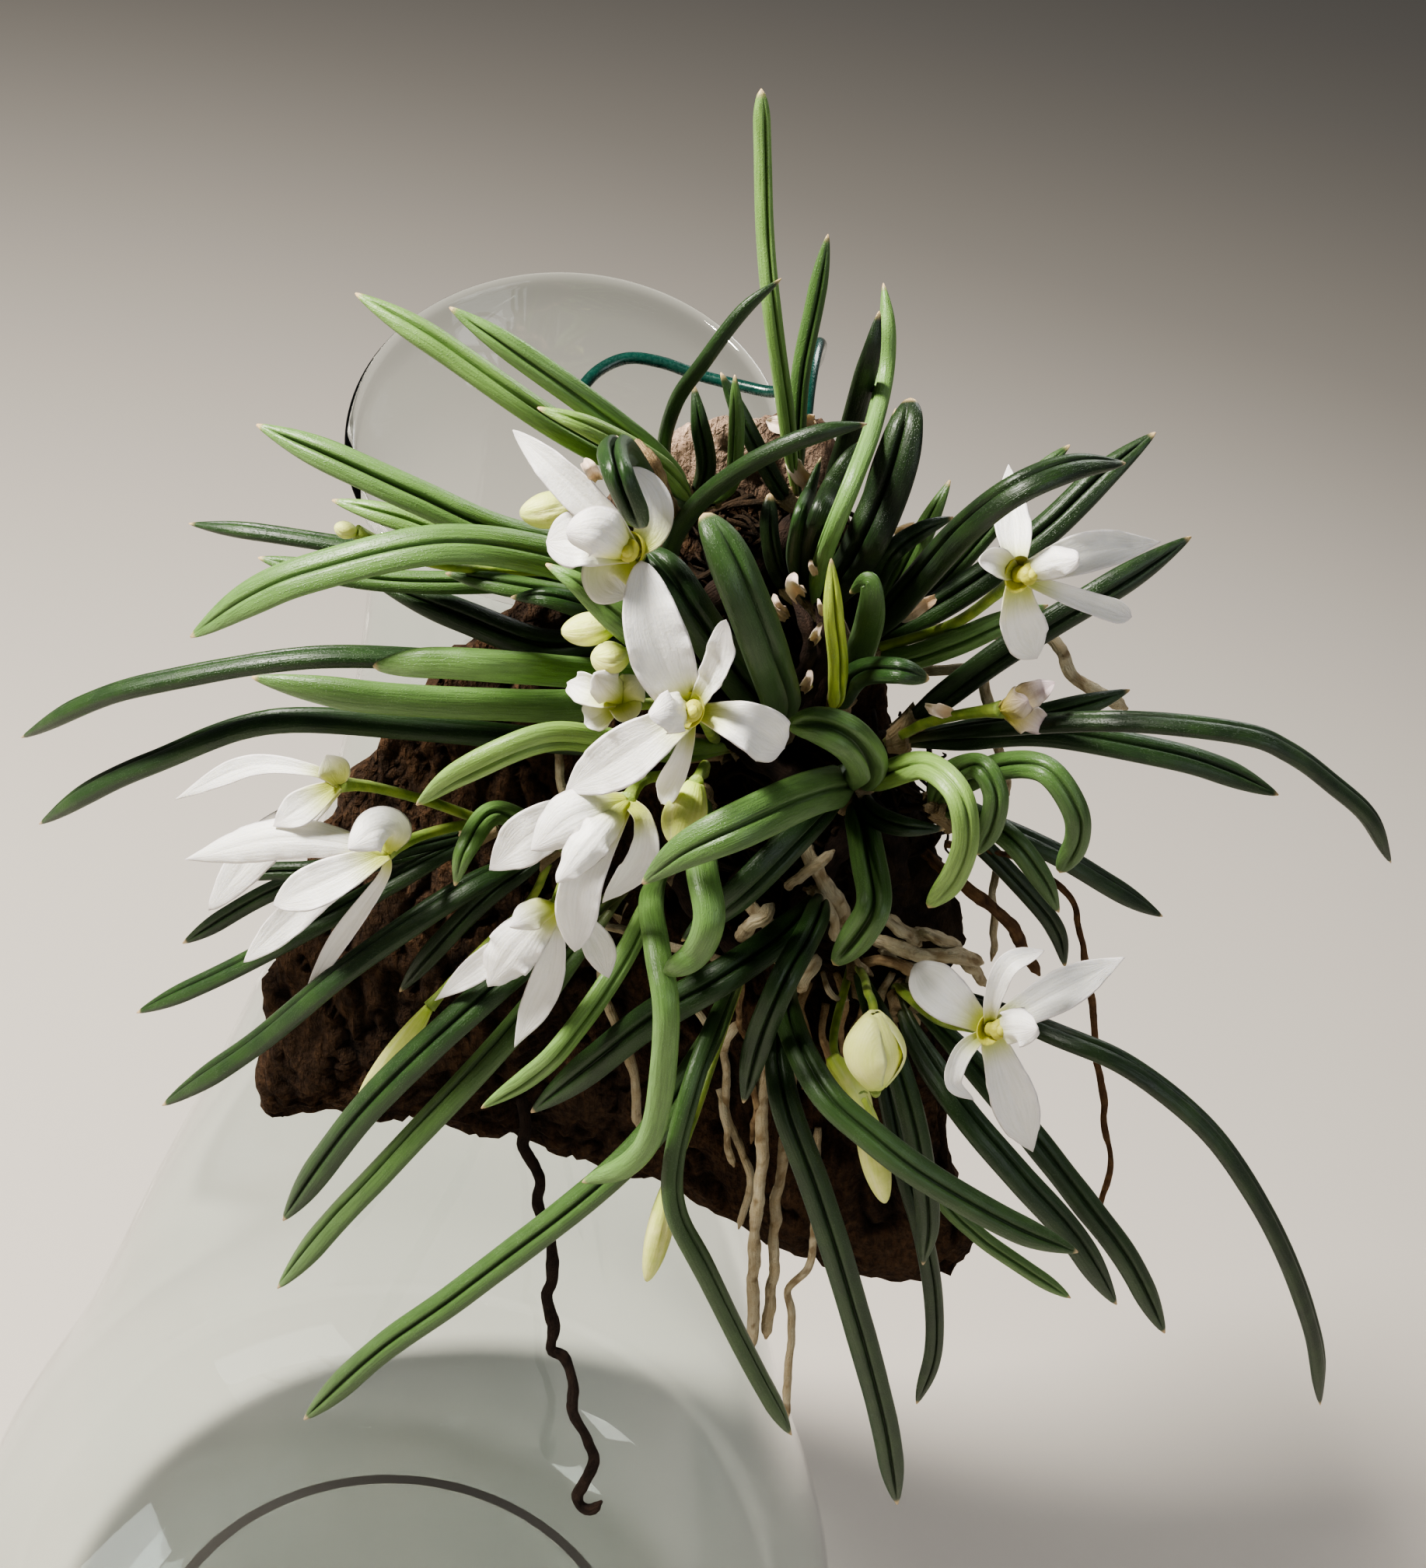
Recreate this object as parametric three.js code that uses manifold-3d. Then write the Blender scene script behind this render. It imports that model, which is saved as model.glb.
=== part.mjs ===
// A leptotes orchid on a cork bark slab that hangs by a wire hook from the mouth of a glass vase.
// Millimetres, +Z up. The origin is the centre of the underside of the vase's foot.
import * as THREE from "three";
import { mergeVertices } from "three/addons/utils/BufferGeometryUtils.js";
import Module from "manifold-3d";

const wasm = await Module();
wasm.setup();

// Driving dimensions of the vase.
const VASE_HEIGHT = 390;
const FOOT_RADIUS = 72;
const BODY_RADIUS = 119;
const BODY_LEVEL = 60;
const NECK_RADIUS = 37.5;
const NECK_LEVEL = 350;
const MOUTH_RADIUS = 45;
const MOUTH_SLANT = THREE.MathUtils.degToRad(24);
const SLANT_HEIGHT = 60;
const GLASS = 3;
const FOOT_THICKNESS = 6;
const VASE_SIDES = 24;

// Driving dimensions of the rest.
const BARK_THICKNESS = 11.8;
const MAT_THICKNESS = 7;
const WIRE_RADIUS = 1.3;
const KNOT_RADIUS = 3.2;
const STALK_RADIUS = 1.0;
const FLOWER_HEART = 1.9;
const TEPAL_THICKNESS = 1.0;
const GAP = 0.35;

// The picture frame that hand-picked places are given in, in pixels, and the view that goes with it.
const PICTURE_WIDTH = 1834;
const PICTURE_HEIGHT = 2016;
const FOCAL_PX = 2800;
const VIEW_PITCH = THREE.MathUtils.degToRad(30);
const VIEW_ROLL = THREE.MathUtils.degToRad(-11);
const MOUTH_PX = [731, 563];
const MOUTH_DEPTH = 446;

// The bark's front face: its depth from the eye on one picture row, and how it grows down the picture.
const BARK_ROW = 800;
const BARK_DEPTH = 412;
const BARK_SLOPE = 0.0755;
const PX_PER_MM = 6.6;

const level = new THREE.Vector3(1, 0, 0);
const forward = new THREE.Vector3(0, Math.cos(VIEW_PITCH), -Math.sin(VIEW_PITCH));
const right = level.clone().applyAxisAngle(forward, VIEW_ROLL);
const down = forward.clone().cross(right);

function rayThrough(px, py) {
  return forward
    .clone()
    .addScaledVector(right, (px - PICTURE_WIDTH / 2) / FOCAL_PX)
    .addScaledVector(down, (py - PICTURE_HEIGHT / 2) / FOCAL_PX);
}

const eye = new THREE.Vector3(0, 0, VASE_HEIGHT).addScaledVector(rayThrough(...MOUTH_PX), -MOUTH_DEPTH);

// The point seen at a picture place, at a depth in mm along the view.
function pointAt(px, py, depth) {
  return eye.clone().addScaledVector(rayThrough(px, py), depth);
}

function barkDepth(py) {
  return BARK_DEPTH + BARK_SLOPE * (py - BARK_ROW);
}

// The point seen at a picture place, standing out in mm from the bark's front face.
function standing([px, py, out]) {
  return pointAt(px, py, barkDepth(py) - out);
}

// Hand-picked places. A path runs from the tip to the base, as [pixel x, pixel y, mm out from the bark].
const path = (wide, ...points) => ({ wide, points });

const SHOOTS = {
  shoot_top: {
    knot: [1025, 655, 5],
    leaves: {
      tall: path(3.3, [979, 114, 4], [981, 200, 6], [984, 300, 9], [993, 400, 12], [1012, 540, 10]),
      beside_tall: path(3.6, [1065, 301, 0], [1048, 390, 2], [1030, 480, 4], [1024, 570, 5]),
      inner: path(3.4, [927, 479, 14], [965, 560, 15], [1003, 630, 11]),
    },
  },
  shoot_top_left: {
    knot: [893, 650, 6],
    leaves: {
      dark_sickle: path(
        3.6, [1005, 358, 24], [955, 400, 26], [905, 465, 26], [868, 520, 22], [855, 590, 14],
      ),
      short_a: path(3.6, [892, 494, 16], [900, 545, 18], [908, 600, 13]),
      short_b: path(3.3, [945, 482, 23], [947, 560, 22], [938, 625, 14]),
      long_low: path(5.2, [457, 377, 28], [560, 440, 33], [705, 540, 34], [820, 605, 22]),
      long_high: path(4.6, [578, 395, 37], [660, 450, 39], [765, 525, 36], [845, 590, 24]),
      short_left: path(4.2, [691, 524, 44], [760, 550, 44], [845, 598, 32]),
      thumb: path(
        4.8, [826, 679, 82], [808, 640, 86], [793, 603, 85], [788, 580, 74], [798, 574, 60],
        [818, 602, 48], [844, 645, 32],
      ),
    },
  },
  shoot_left_high: {
    knot: [868, 722, 6],
    leaves: {
      broad_pair: path(
        6.0, [330, 546, 30], [430, 590, 36], [540, 640, 38], [645, 685, 34], [770, 712, 18],
      ),
      under_pair: path(4.8, [427, 643, 22], [510, 665, 25], [605, 695, 24], [760, 720, 12]),
      far: path(4.8, [243, 673, 12], [340, 685, 17], [475, 705, 19], [640, 722, 14]),
      far_low: path(4.4, [332, 717, 8], [405, 733, 11], [520, 748, 12], [700, 745, 9]),
    },
  },
  shoot_left_mid: {
    knot: [878, 790, 7],
    leaves: {
      arched: path(
        7.0, [245, 819, 44], [320, 770, 48], [403, 736, 50], [565, 700, 48], [705, 716, 38],
        [820, 760, 18],
      ),
      over_flower: path(
        3.6, [1115, 545, 46], [1060, 555, 49], [1005, 575, 49], [950, 605, 46], [895, 650, 38],
        [862, 710, 24],
      ),
      dark_low: path(6.2, [475, 745, 6], [590, 790, 9], [705, 830, 9], [800, 815, 8]),
      lit_end: path(4.4, [573, 737, 20], [640, 750, 24], [720, 765, 22], [800, 782, 14]),
      short_end: path(4.6, [657, 768, 32], [705, 768, 35], [770, 785, 30], [832, 797, 17]),
    },
  },
  shoot_left_low: {
    knot: [908, 872, 7],
    leaves: {
      far_arched: path(
        6.2, [28, 948, 10], [110, 905, 18], [202, 877, 24], [403, 845, 28], [605, 852, 22],
        [790, 870, 10],
      ),
      bright_low: path(
        6.4, [324, 871, 38], [400, 885, 40], [484, 897, 40], [620, 905, 35], [760, 905, 22],
      ),
      bright_high: path(6.0, [480, 857, 48], [560, 852, 50], [660, 858, 47], [790, 868, 26]),
      by_bud: path(6.0, [702, 725, 56], [750, 755, 58], [815, 810, 53], [865, 850, 28]),
    },
  },
  shoot_left_bottom: {
    knot: [945, 962, 7],
    leaves: {
      far_straight: path(
        6.6, [51, 1059, 6], [120, 1015, 12], [202, 978, 17], [353, 927, 21], [565, 938, 19],
        [790, 960, 10],
      ),
      bright_front: path(
        6.6, [536, 1035, 56], [600, 990, 58], [705, 948, 54], [806, 958, 42], [890, 965, 22],
      ),
    },
  },
  shoot_far_left: {
    knot: [640, 1062, 5],
    leaves: {
      small: path(3.6, [281, 1124, 16], [350, 1120, 20], [423, 1115, 20], [545, 1085, 11]),
      lower: path(4.0, [235, 1213, 4], [343, 1149, 9], [430, 1120, 10], [540, 1095, 8]),
      lowest: path(5.0, [176, 1302, 8], [290, 1250, 14], [403, 1190, 18], [530, 1120, 13]),
    },
  },
  shoot_low_left: {
    knot: [722, 1085, 6],
    leaves: {
      long: path(6.2, [209, 1421, 20], [330, 1340, 27], [454, 1240, 31], [605, 1139, 26]),
      stub: path(4.6, [585, 1139, 38], [600, 1090, 38], [640, 1045, 24]),
      hidden: path(4.4, [514, 1275, 8], [560, 1220, 10], [630, 1150, 9]),
    },
  },
  shoot_low_mid: {
    knot: [806, 1140, 7],
    leaves: {
      front: path(
        6.6, [364, 1569, 26], [420, 1490, 31], [484, 1411, 35], [590, 1310, 36], [706, 1210, 28],
      ),
      behind: path(
        6.4, [357, 1656, 10], [430, 1570, 16], [504, 1492, 20], [645, 1341, 21], [745, 1220, 14],
      ),
    },
  },
  shoot_mid: {
    knot: [862, 1105, 8],
    leaves: {
      bright: path(5.0, [619, 1425, 38], [680, 1385, 40], [726, 1341, 42], [800, 1235, 32]),
      pale_thick: path(
        5.0, [749, 1520, 48], [810, 1495, 52], [843, 1440, 56], [857, 1310, 60], [845, 1220, 54],
        [838, 1155, 34],
      ),
    },
  },
  shoot_centre_low: {
    knot: [905, 1015, 9],
    leaves: {
      bent: path(
        6.0, [856, 1252, 58], [895, 1225, 62], [912, 1180, 64], [903, 1120, 56], [897, 1060, 34],
      ),
    },
  },
  shoot_centre: {
    knot: [1000, 935, 9],
    leaves: {
      broad: path(8.8, [905, 660, 60], [930, 700, 64], [960, 770, 66], [990, 850, 60], [1004, 900, 36]),
      beside: path(7.4, [826, 705, 52], [860, 740, 57], [900, 800, 57], [945, 865, 38]),
    },
  },
  shoot_heart: {
    knot: [1100, 1012, 9],
    leaves: {
      notched: path(
        8.2, [826, 1136, 74], [880, 1095, 78], [958, 1058, 76], [1030, 1025, 60], [1075, 1012, 36],
      ),
      under_notched: path(7.2, [877, 1210, 34], [950, 1150, 42], [1020, 1080, 36], [1070, 1030, 20]),
      hook_low: path(
        5.4, [1194, 1167, 56], [1225, 1130, 60], [1242, 1079, 62], [1232, 1020, 60], [1190, 985, 50],
        [1135, 998, 28],
      ),
      curl_down: path(6.6, [1072, 1240, 46], [1105, 1200, 50], [1124, 1160, 50], [1116, 1100, 36]),
      arch: path(7.8, [1013, 932, 56], [1052, 932, 61], [1092, 950, 61], [1116, 984, 46]),
      level: path(4.4, [1215, 1066, 32], [1160, 1062, 34], [1120, 1045, 24]),
    },
  },
  shoot_low_centre: {
    knot: [1062, 1140, 8],
    leaves: {
      long_left: path(
        6.8, [683, 1430, 30], [760, 1370, 35], [837, 1310, 38], [930, 1255, 38], [1008, 1200, 26],
      ),
      drooping: path(5.6, [956, 1418, 42], [975, 1340, 46], [1008, 1260, 46], [1045, 1190, 30]),
    },
  },
  shoot_bottom_left: {
    knot: [965, 1222, 7],
    leaves: {
      long_diagonal: path(
        6.2, [391, 1825, 22], [490, 1735, 29], [605, 1653, 34], [806, 1492, 40], [900, 1360, 34],
      ),
      snake: path(
        5.2, [1018, 1845, 26], [965, 1750, 36], [907, 1633, 46], [870, 1560, 50], [867, 1492, 50],
        [892, 1391, 46], [930, 1290, 30],
      ),
    },
  },
  shoot_bottom: {
    knot: [1018, 1240, 8],
    leaves: {
      long_down: path(
        6.2, [1154, 1934, 24], [1135, 1820, 32], [1089, 1653, 42], [1050, 1530, 45], [1008, 1411, 42],
        [1000, 1310, 26],
      ),
      over_right: path(
        6.0, [1386, 1610, 48], [1300, 1575, 55], [1190, 1512, 60], [1120, 1460, 60], [1058, 1401, 55],
        [1015, 1310, 36],
      ),
    },
  },
  shoot_bottom_mid: {
    knot: [1098, 1232, 6],
    leaves: {
      down_a: path(
        4.4, [1179, 1805, 8], [1200, 1740, 13], [1200, 1663, 18], [1185, 1580, 22], [1159, 1490, 22],
        [1125, 1330, 14],
      ),
      down_b: path(
        5.2, [1187, 1626, 30], [1193, 1560, 35], [1179, 1462, 38], [1150, 1360, 36], [1112, 1270, 18],
      ),
      small_right: path(
        3.8, [1377, 1669, 8], [1310, 1625, 13], [1255, 1585, 15], [1205, 1530, 14], [1145, 1400, 10],
      ),
    },
  },
  shoot_bottom_right: {
    knot: [1148, 1262, 7],
    leaves: {
      near_down: path(
        6.4, [1436, 1677, 26], [1380, 1590, 33], [1310, 1512, 36], [1240, 1430, 34], [1180, 1340, 20],
      ),
      next_down: path(
        5.8, [1498, 1714, 14], [1450, 1620, 20], [1391, 1542, 24], [1320, 1452, 26], [1235, 1350, 18],
      ),
      far_arc: path(
        5.8, [1698, 1806, 24], [1690, 1720, 31], [1653, 1613, 37], [1600, 1515, 41], [1542, 1441, 43],
        [1450, 1370, 43], [1361, 1331, 38], [1240, 1282, 20],
      ),
    },
  },
  shoot_right: {
    knot: [1140, 955, 8],
    leaves: {
      far_arc: path(
        5.4, [1789, 1109, 20], [1760, 1050, 27], [1714, 1008, 32], [1660, 968, 36], [1593, 942, 38],
        [1431, 927, 34], [1250, 938, 18],
      ),
      under_arc: path(
        5.6, [1644, 1022, 18], [1570, 990, 22], [1492, 968, 24], [1341, 942, 22], [1225, 950, 13],
      ),
      short: path(4.8, [1453, 887, 10], [1400, 905, 13], [1320, 925, 13], [1220, 945, 10]),
      up_right: path(
        6.2, [1532, 690, 8], [1470, 730, 12], [1411, 766, 15], [1290, 840, 16], [1190, 915, 11],
      ),
    },
  },
  shoot_right_high: {
    knot: [1106, 836, 7],
    leaves: {
      long: path(6.0, [1486, 556, 6], [1420, 610, 10], [1341, 685, 13], [1230, 765, 12]),
      bowed: path(
        6.2, [1447, 595, 42], [1380, 600, 50], [1310, 628, 55], [1250, 672, 50], [1190, 735, 32],
      ),
      back: path(4.0, [1376, 572, 0], [1345, 600, 2], [1290, 660, 4], [1200, 760, 6]),
      stub: path(4.4, [1222, 617, 10], [1200, 660, 12], [1160, 740, 10]),
      flat_stub: path(4.0, [1226, 665, 24], [1185, 682, 28], [1146, 712, 26], [1122, 762, 17]),
      short_grey: path(5.0, [1348, 778, 20], [1290, 800, 24], [1225, 828, 24], [1158, 848, 15]),
    },
  },
  shoot_upper: {
    knot: [1046, 790, 7],
    leaves: {
      pale_edge: path(
        3.4, [1136, 364, 8], [1141, 420, 12], [1138, 480, 15], [1122, 550, 26], [1096, 620, 38],
        [1068, 690, 36], [1052, 740, 22],
      ),
      front_edge: path(
        4.4, [1131, 400, 21], [1121, 450, 22], [1108, 500, 18], [1092, 560, 12], [1070, 640, 9],
      ),
      stout: path(
        8.2, [1171, 512, 22], [1164, 550, 27], [1146, 618, 30], [1119, 684, 28], [1088, 738, 17],
      ),
      dark: path(5.6, [1112, 568, 22], [1088, 604, 26], [1062, 656, 25], [1046, 715, 18]),
      mid_green: path(4.4, [1056, 588, 18], [1042, 630, 22], [1027, 675, 23], [1022, 730, 17]),
      dark_left: path(3.6, [990, 634, 14], [990, 690, 17], [1004, 742, 15]),
      behind_stout: path(4.4, [1152, 525, 8], [1126, 610, 11], [1106, 680, 12], [1082, 745, 9]),
    },
  },
  shoot_crown: {
    knot: [1070, 925, 10],
    leaves: {
      young: path(3.6, [1069, 718, 48], [1072, 790, 48], [1078, 850, 42], [1076, 895, 26]),
      curled: path(5.4, [1093, 763, 38], [1118, 748, 42], [1120, 790, 40], [1102, 850, 25]),
      flat: path(5.0, [1195, 873, 48], [1150, 862, 50], [1100, 870, 32]),
    },
  },
  shoot_right_low: {
    knot: [1196, 1040, 9],
    leaves: {
      out_right: path(5.4, [1495, 1178, 8], [1430, 1140, 14], [1361, 1099, 18], [1270, 1058, 15]),
      down_right: path(4.8, [1362, 1173, 28], [1340, 1130, 31], [1300, 1079, 31], [1245, 1045, 20]),
      hidden_low: path(4.0, [1370, 1243, 2], [1360, 1200, 4], [1331, 1159, 7], [1260, 1085, 9]),
      hook_far: path(
        5.0, [1363, 1122, 46], [1385, 1080, 50], [1381, 1038, 52], [1345, 990, 50], [1290, 985, 40],
        [1230, 1010, 22],
      ),
      hook_near: path(
        4.8, [1255, 1099, 42], [1275, 1060, 46], [1280, 1018, 48], [1258, 985, 44], [1215, 1000, 24],
      ),
    },
  },
};

// Flowers: the centre, the tepals from tip to base and the stalk from the centre to its shoot.
const FLOWERS = {
  flower_front: {
    centre: [892, 913, 66],
    tepals: {
      up: path(10.5, [824, 721, 62], [838, 800, 68], [862, 870, 69]),
      up_right: path(5.2, [933, 797, 74], [925, 850, 73]),
      right: path(9.0, [1008, 962, 66], [960, 932, 71]),
      down: path(4.8, [851, 1033, 60], [878, 975, 68]),
      left: path(10.0, [728, 1017, 58], [790, 980, 65], [850, 940, 69]),
      lip: path(7.0, [836, 922, 80], [862, 915, 77]),
    },
    stalk: [[905, 925, 50], [915, 945, 30], [920, 950, 16]],
  },
  flower_upper_left: {
    centre: [812, 712, 60],
    tepals: {
      long: path(6.2, [660, 553, 52], [715, 605, 58], [778, 668, 61]),
      left: path(9.0, [703, 697, 60], [755, 695, 63]),
      fold: path(8.6, [728, 685, 68], [772, 684, 67]),
      right: path(7.0, [812, 600, 54], [835, 640, 57], [836, 682, 59]),
      down: path(9.0, [809, 769, 58], [782, 738, 60]),
    },
    stalk: [[836, 722, 48], [858, 740, 30], [872, 760, 15]],
  },
  flower_right: {
    centre: [1308, 740, 52],
    tepals: {
      up: path(6.4, [1297, 598, 28], [1301, 665, 38]),
      far_right: path(7.0, [1492, 697, 42], [1400, 710, 50]),
      low_right: path(4.2, [1455, 793, 46], [1385, 770, 52]),
      down: path(8.2, [1333, 846, 44], [1312, 795, 51]),
      left: path(5.0, [1259, 720, 58], [1283, 724, 56]),
      lip: path(5.4, [1388, 718, 62], [1350, 724, 59]),
    },
    stalk: [[1280, 765, 40], [1220, 805, 22], [1113, 838, 9]],
  },
  flower_low_right: {
    centre: [1272, 1323, 58],
    tepals: {
      right: path(7.8, [1446, 1231, 48], [1360, 1275, 56]),
      up: path(4.2, [1343, 1222, 60], [1298, 1240, 63], [1278, 1282, 62]),
      left: path(9.0, [1176, 1240, 50], [1215, 1280, 58]),
      curl: path(3.8, [1252, 1414, 62], [1226, 1392, 64], [1238, 1352, 63]),
      down: path(9.0, [1328, 1480, 46], [1300, 1405, 56]),
      lip: path(7.0, [1335, 1322, 70], [1304, 1322, 66]),
    },
    stalk: [[1245, 1320, 46], [1205, 1310, 30], [1152, 1268, 9]],
  },
  flower_nodding_high: {
    centre: [806, 1030, 56],
    tepals: {
      left: path(9.5, [630, 1118, 46], [700, 1065, 53]),
      middle: path(9.5, [683, 1093, 64], [740, 1050, 63]),
      down: path(8.0, [739, 1223, 58], [750, 1130, 62]),
      right: path(6.0, [775, 1160, 52], [822, 1105, 57], [826, 1055, 58]),
      lip: path(7.0, [716, 1135, 70], [762, 1080, 67]),
    },
    stalk: [[826, 1004, 46], [858, 998, 30], [890, 1008, 15]],
  },
  flower_nodding_low: {
    centre: [717, 1165, 48],
    tepals: {
      wide: path(10.0, [628, 1268, 42], [665, 1215, 47]),
      far_left: path(5.5, [560, 1286, 34], [640, 1225, 42]),
      down: path(6.5, [662, 1346, 38], [705, 1255, 44]),
      right: path(6.0, [783, 1257, 42], [763, 1205, 46]),
      lip: path(6.0, [655, 1192, 54], [686, 1175, 52]),
    },
    stalk: [[730, 1120, 40], [740, 1102, 24], [724, 1090, 8]],
  },
  flower_far_left_low: {
    centre: [498, 1095, 38],
    tepals: {
      long: path(8.0, [239, 1105, 30], [370, 1078, 37]),
      round: path(8.5, [448, 1092, 48], [482, 1068, 44], [505, 1070, 40]),
      middle: path(8.5, [352, 1164, 38], [430, 1128, 41]),
      low: path(6.5, [314, 1237, 28], [400, 1160, 35]),
      thin: path(4.0, [385, 1298, 26], [432, 1215, 31], [492, 1130, 36]),
    },
    stalk: [[540, 1075, 28], [590, 1062, 16], [620, 1062, 10]],
  },
  flower_far_left_high: {
    centre: [436, 1008, 36],
    tepals: {
      thin: path(4.2, [225, 1028, 24], [320, 985, 31], [400, 990, 35]),
      translucent: path(8.0, [269, 1170, 22], [335, 1090, 28], [400, 1040, 33]),
      cream: path(6.5, [352, 1062, 36], [400, 1030, 37]),
      tip: path(6.0, [420, 970, 36], [430, 990, 37]),
    },
    stalk: [[480, 1012, 28], [550, 1030, 16], [612, 1052, 10]],
  },
  flower_opening: {
    centre: [800, 902, 54],
    tepals: {
      left: path(5.6, [730, 878, 50], [760, 888, 55]),
      low: path(5.6, [752, 930, 52], [775, 915, 55]),
      middle: path(6.2, [764, 866, 61], [782, 884, 59]),
      right: path(6.2, [826, 872, 55], [812, 885, 56]),
      low_right: path(5.6, [812, 928, 58], [806, 914, 57]),
    },
    stalk: [[835, 905, 42], [870, 895, 26], [890, 888, 14]],
  },
  flower_withered: {
    centre: [1288, 912, 30],
    tepals: {
      high: path(5.2, [1357, 877, 30], [1325, 893, 31]),
      low: path(6.0, [1343, 938, 28], [1318, 922, 30]),
      near: path(6.0, [1322, 900, 36], [1306, 905, 34]),
    },
    stalk: [[1240, 918, 24], [1190, 930, 16], [1160, 945, 12]],
  },
};

// Buds: the tip, the base and the stalk from the base to its shoot.
const BUDS = {
  bud_left: {
    wide: 6.0, tip: [669, 660, 44], base: [748, 645, 40],
    stalk: [[800, 665, 34], [850, 690, 18], [866, 716, 8]],
  },
  bud_mid: {
    wide: 5.6, tip: [722, 812, 52], base: [796, 800, 50],
    stalk: [[840, 815, 36], [868, 822, 18], [874, 805, 13]],
  },
  bud_round: {
    wide: 5.6, tip: [762, 845, 58], base: [806, 842, 54],
    stalk: [[840, 850, 42], [875, 862, 22], [895, 866, 13]],
  },
  bud_hanging: {
    wide: 7.4, tip: [866, 1086, 66], base: [895, 1006, 60],
    stalk: [[905, 985, 46], [908, 985, 24], [906, 996, 14]],
  },
  bud_cream: {
    wide: 10.0, tip: [1126, 1398, 62], base: [1124, 1302, 58],
    stalk: [[1116, 1275, 46], [1112, 1258, 28], [1104, 1244, 12]],
  },
  bud_low: {
    wide: 5.6, tip: [1138, 1545, 46], base: [1108, 1410, 50],
    stalk: [[1085, 1375, 42], [1072, 1335, 28], [1095, 1238, 8]],
  },
  bud_yellow: {
    wide: 5.2, tip: [832, 1646, 36], base: [866, 1506, 40],
    stalk: [[895, 1430, 28], [925, 1340, 16], [962, 1232, 8]],
  },
  bud_behind: {
    wide: 4.8, tip: [460, 1420, 16], base: [552, 1295, 18],
    stalk: [[610, 1230, 12], [680, 1160, 8], [705, 1110, 7]],
  },
  bud_tiny: {
    wide: 3.0, tip: [431, 676, 34], base: [458, 684, 32],
    stalk: [[560, 725, 26], [700, 735, 14], [840, 735, 8]],
  },
};

// Roots, from where they leave the bark or the mat to their ends.
const ROOTS = {
  root_long_dark: {
    wide: 2.6,
    points: [
      [671, 1412, -1], [676, 1450, 3], [674, 1479, 4], [694, 1515, 5], [692, 1547, 5], [707, 1594, 6],
      [710, 1645, 6],
      [703, 1667, 7], [712, 1703, 7], [709, 1735, 8], [727, 1746, 8], [736, 1782, 9], [737, 1815, 9],
      [755, 1851, 10],
      [764, 1876, 10], [752, 1905, 11], [743, 1923, 11], [748, 1937, 11], [761, 1941, 12],
      [774, 1930, 12],
    ],
  },
  root_pale_left: {
    wide: 2.6,
    points: [
      [990, 1330, 2], [983, 1400, 6], [979, 1489, 9], [972, 1579, 9], [969, 1650, 8], [967, 1736, 8],
    ],
  },
  root_pale_mid: {
    wide: 2.4,
    points: [
      [1020, 1370, 2], [1011, 1471, 5], [997, 1561, 6], [994, 1650, 6], [985, 1721, 6],
    ],
  },
  root_pale_right: {
    wide: 1.8,
    points: [
      [1052, 1450, 1.6], [1047, 1579, 4], [1040, 1629, 5], [1015, 1657, 6], [1019, 1704, 6],
      [1013, 1757, 7], [1013, 1825, 7],
    ],
  },
  root_brown: {
    wide: 2.4,
    points: [
      [1188, 1096, 5], [1232, 1134, 14], [1261, 1156, 15], [1297, 1185, 13], [1312, 1214, 10],
      [1337, 1254, 8],
    ],
  },
  root_thin: {
    wide: 1.4,
    points: [
      [1215, 1085, 9], [1300, 1100, 9], [1370, 1145, 9], [1388, 1189, 9], [1394, 1229, 9],
      [1404, 1283, 9], [1413, 1374, 9],
      [1421, 1418, 9], [1421, 1447, 9], [1428, 1498, 9], [1417, 1538, 9], [1415, 1556, 9],
    ],
  },
  root_upper_far: {
    wide: 2.6,
    points: [
      [1104, 798, -1.5], [1240, 812, 3], [1336, 816, 4], [1361, 830, 4], [1374, 856, 4], [1392, 878, 4],
      [1424, 896, 4], [1450, 912, 4],
    ],
  },
  root_upper_near: {
    wide: 2.2,
    points: [
      [1110, 862, -1.5], [1200, 862, 4], [1257, 863, 6], [1272, 903, 6], [1283, 965, 6],
      [1297, 1023, 6],
    ],
  },
};

// The wire's route, from its end in the mouth to the bark's top: [pixel x, pixel y, mm from the eye].
const WIRE_ROUTE = [
  [738, 512, 452], [768, 478, 456], [806, 461, 458], [850, 466, 459], [897, 482, 459], [948, 495, 458],
  [996, 504, 455],
  [1028, 492, 449], [1048, 468, 439], [1055, 446, 427], [1052, 444, 415], [1046, 465, 407],
  [1040, 500, 402],
  [1035, 545, 399], [1030, 585, 398],
];

const BARK_CENTRE = [850, 1120];
const BARK_OUTLINE = [
  [885, 565], [950, 548], [1030, 540], [1068, 580], [1088, 700], [1122, 850], [1170, 1000],
  [1200, 1130], [1212, 1300],
  [1208, 1440], [1240, 1570], [1200, 1624], [1100, 1628], [1008, 1593], [930, 1550], [846, 1509],
  [764, 1486], [668, 1457],
  [582, 1437], [454, 1421], [371, 1430], [343, 1400], [350, 1330], [358, 1235], [400, 1120],
  [462, 1000], [560, 880],
  [700, 740], [800, 640],
];
const MAT_CENTRE = [1135, 1140];
const MAT_OUTLINE = [
  [1040, 1060], [1110, 1010], [1180, 1030], [1208, 1100], [1240, 1185], [1222, 1250], [1160, 1300],
  [1090, 1290], [1030, 1220],
  [1015, 1130],
];

// A closed mesh as a solid.
function solidOf(geometry) {
  const bare = geometry.clone();
  bare.deleteAttribute("normal");
  bare.deleteAttribute("uv");
  const merged = mergeVertices(bare, 1e-4);
  return new wasm.Manifold(
    new wasm.Mesh({
      numProp: 3,
      vertProperties: merged.attributes.position.array,
      triVerts: new Uint32Array(merged.index.array),
    }),
  );
}

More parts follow.
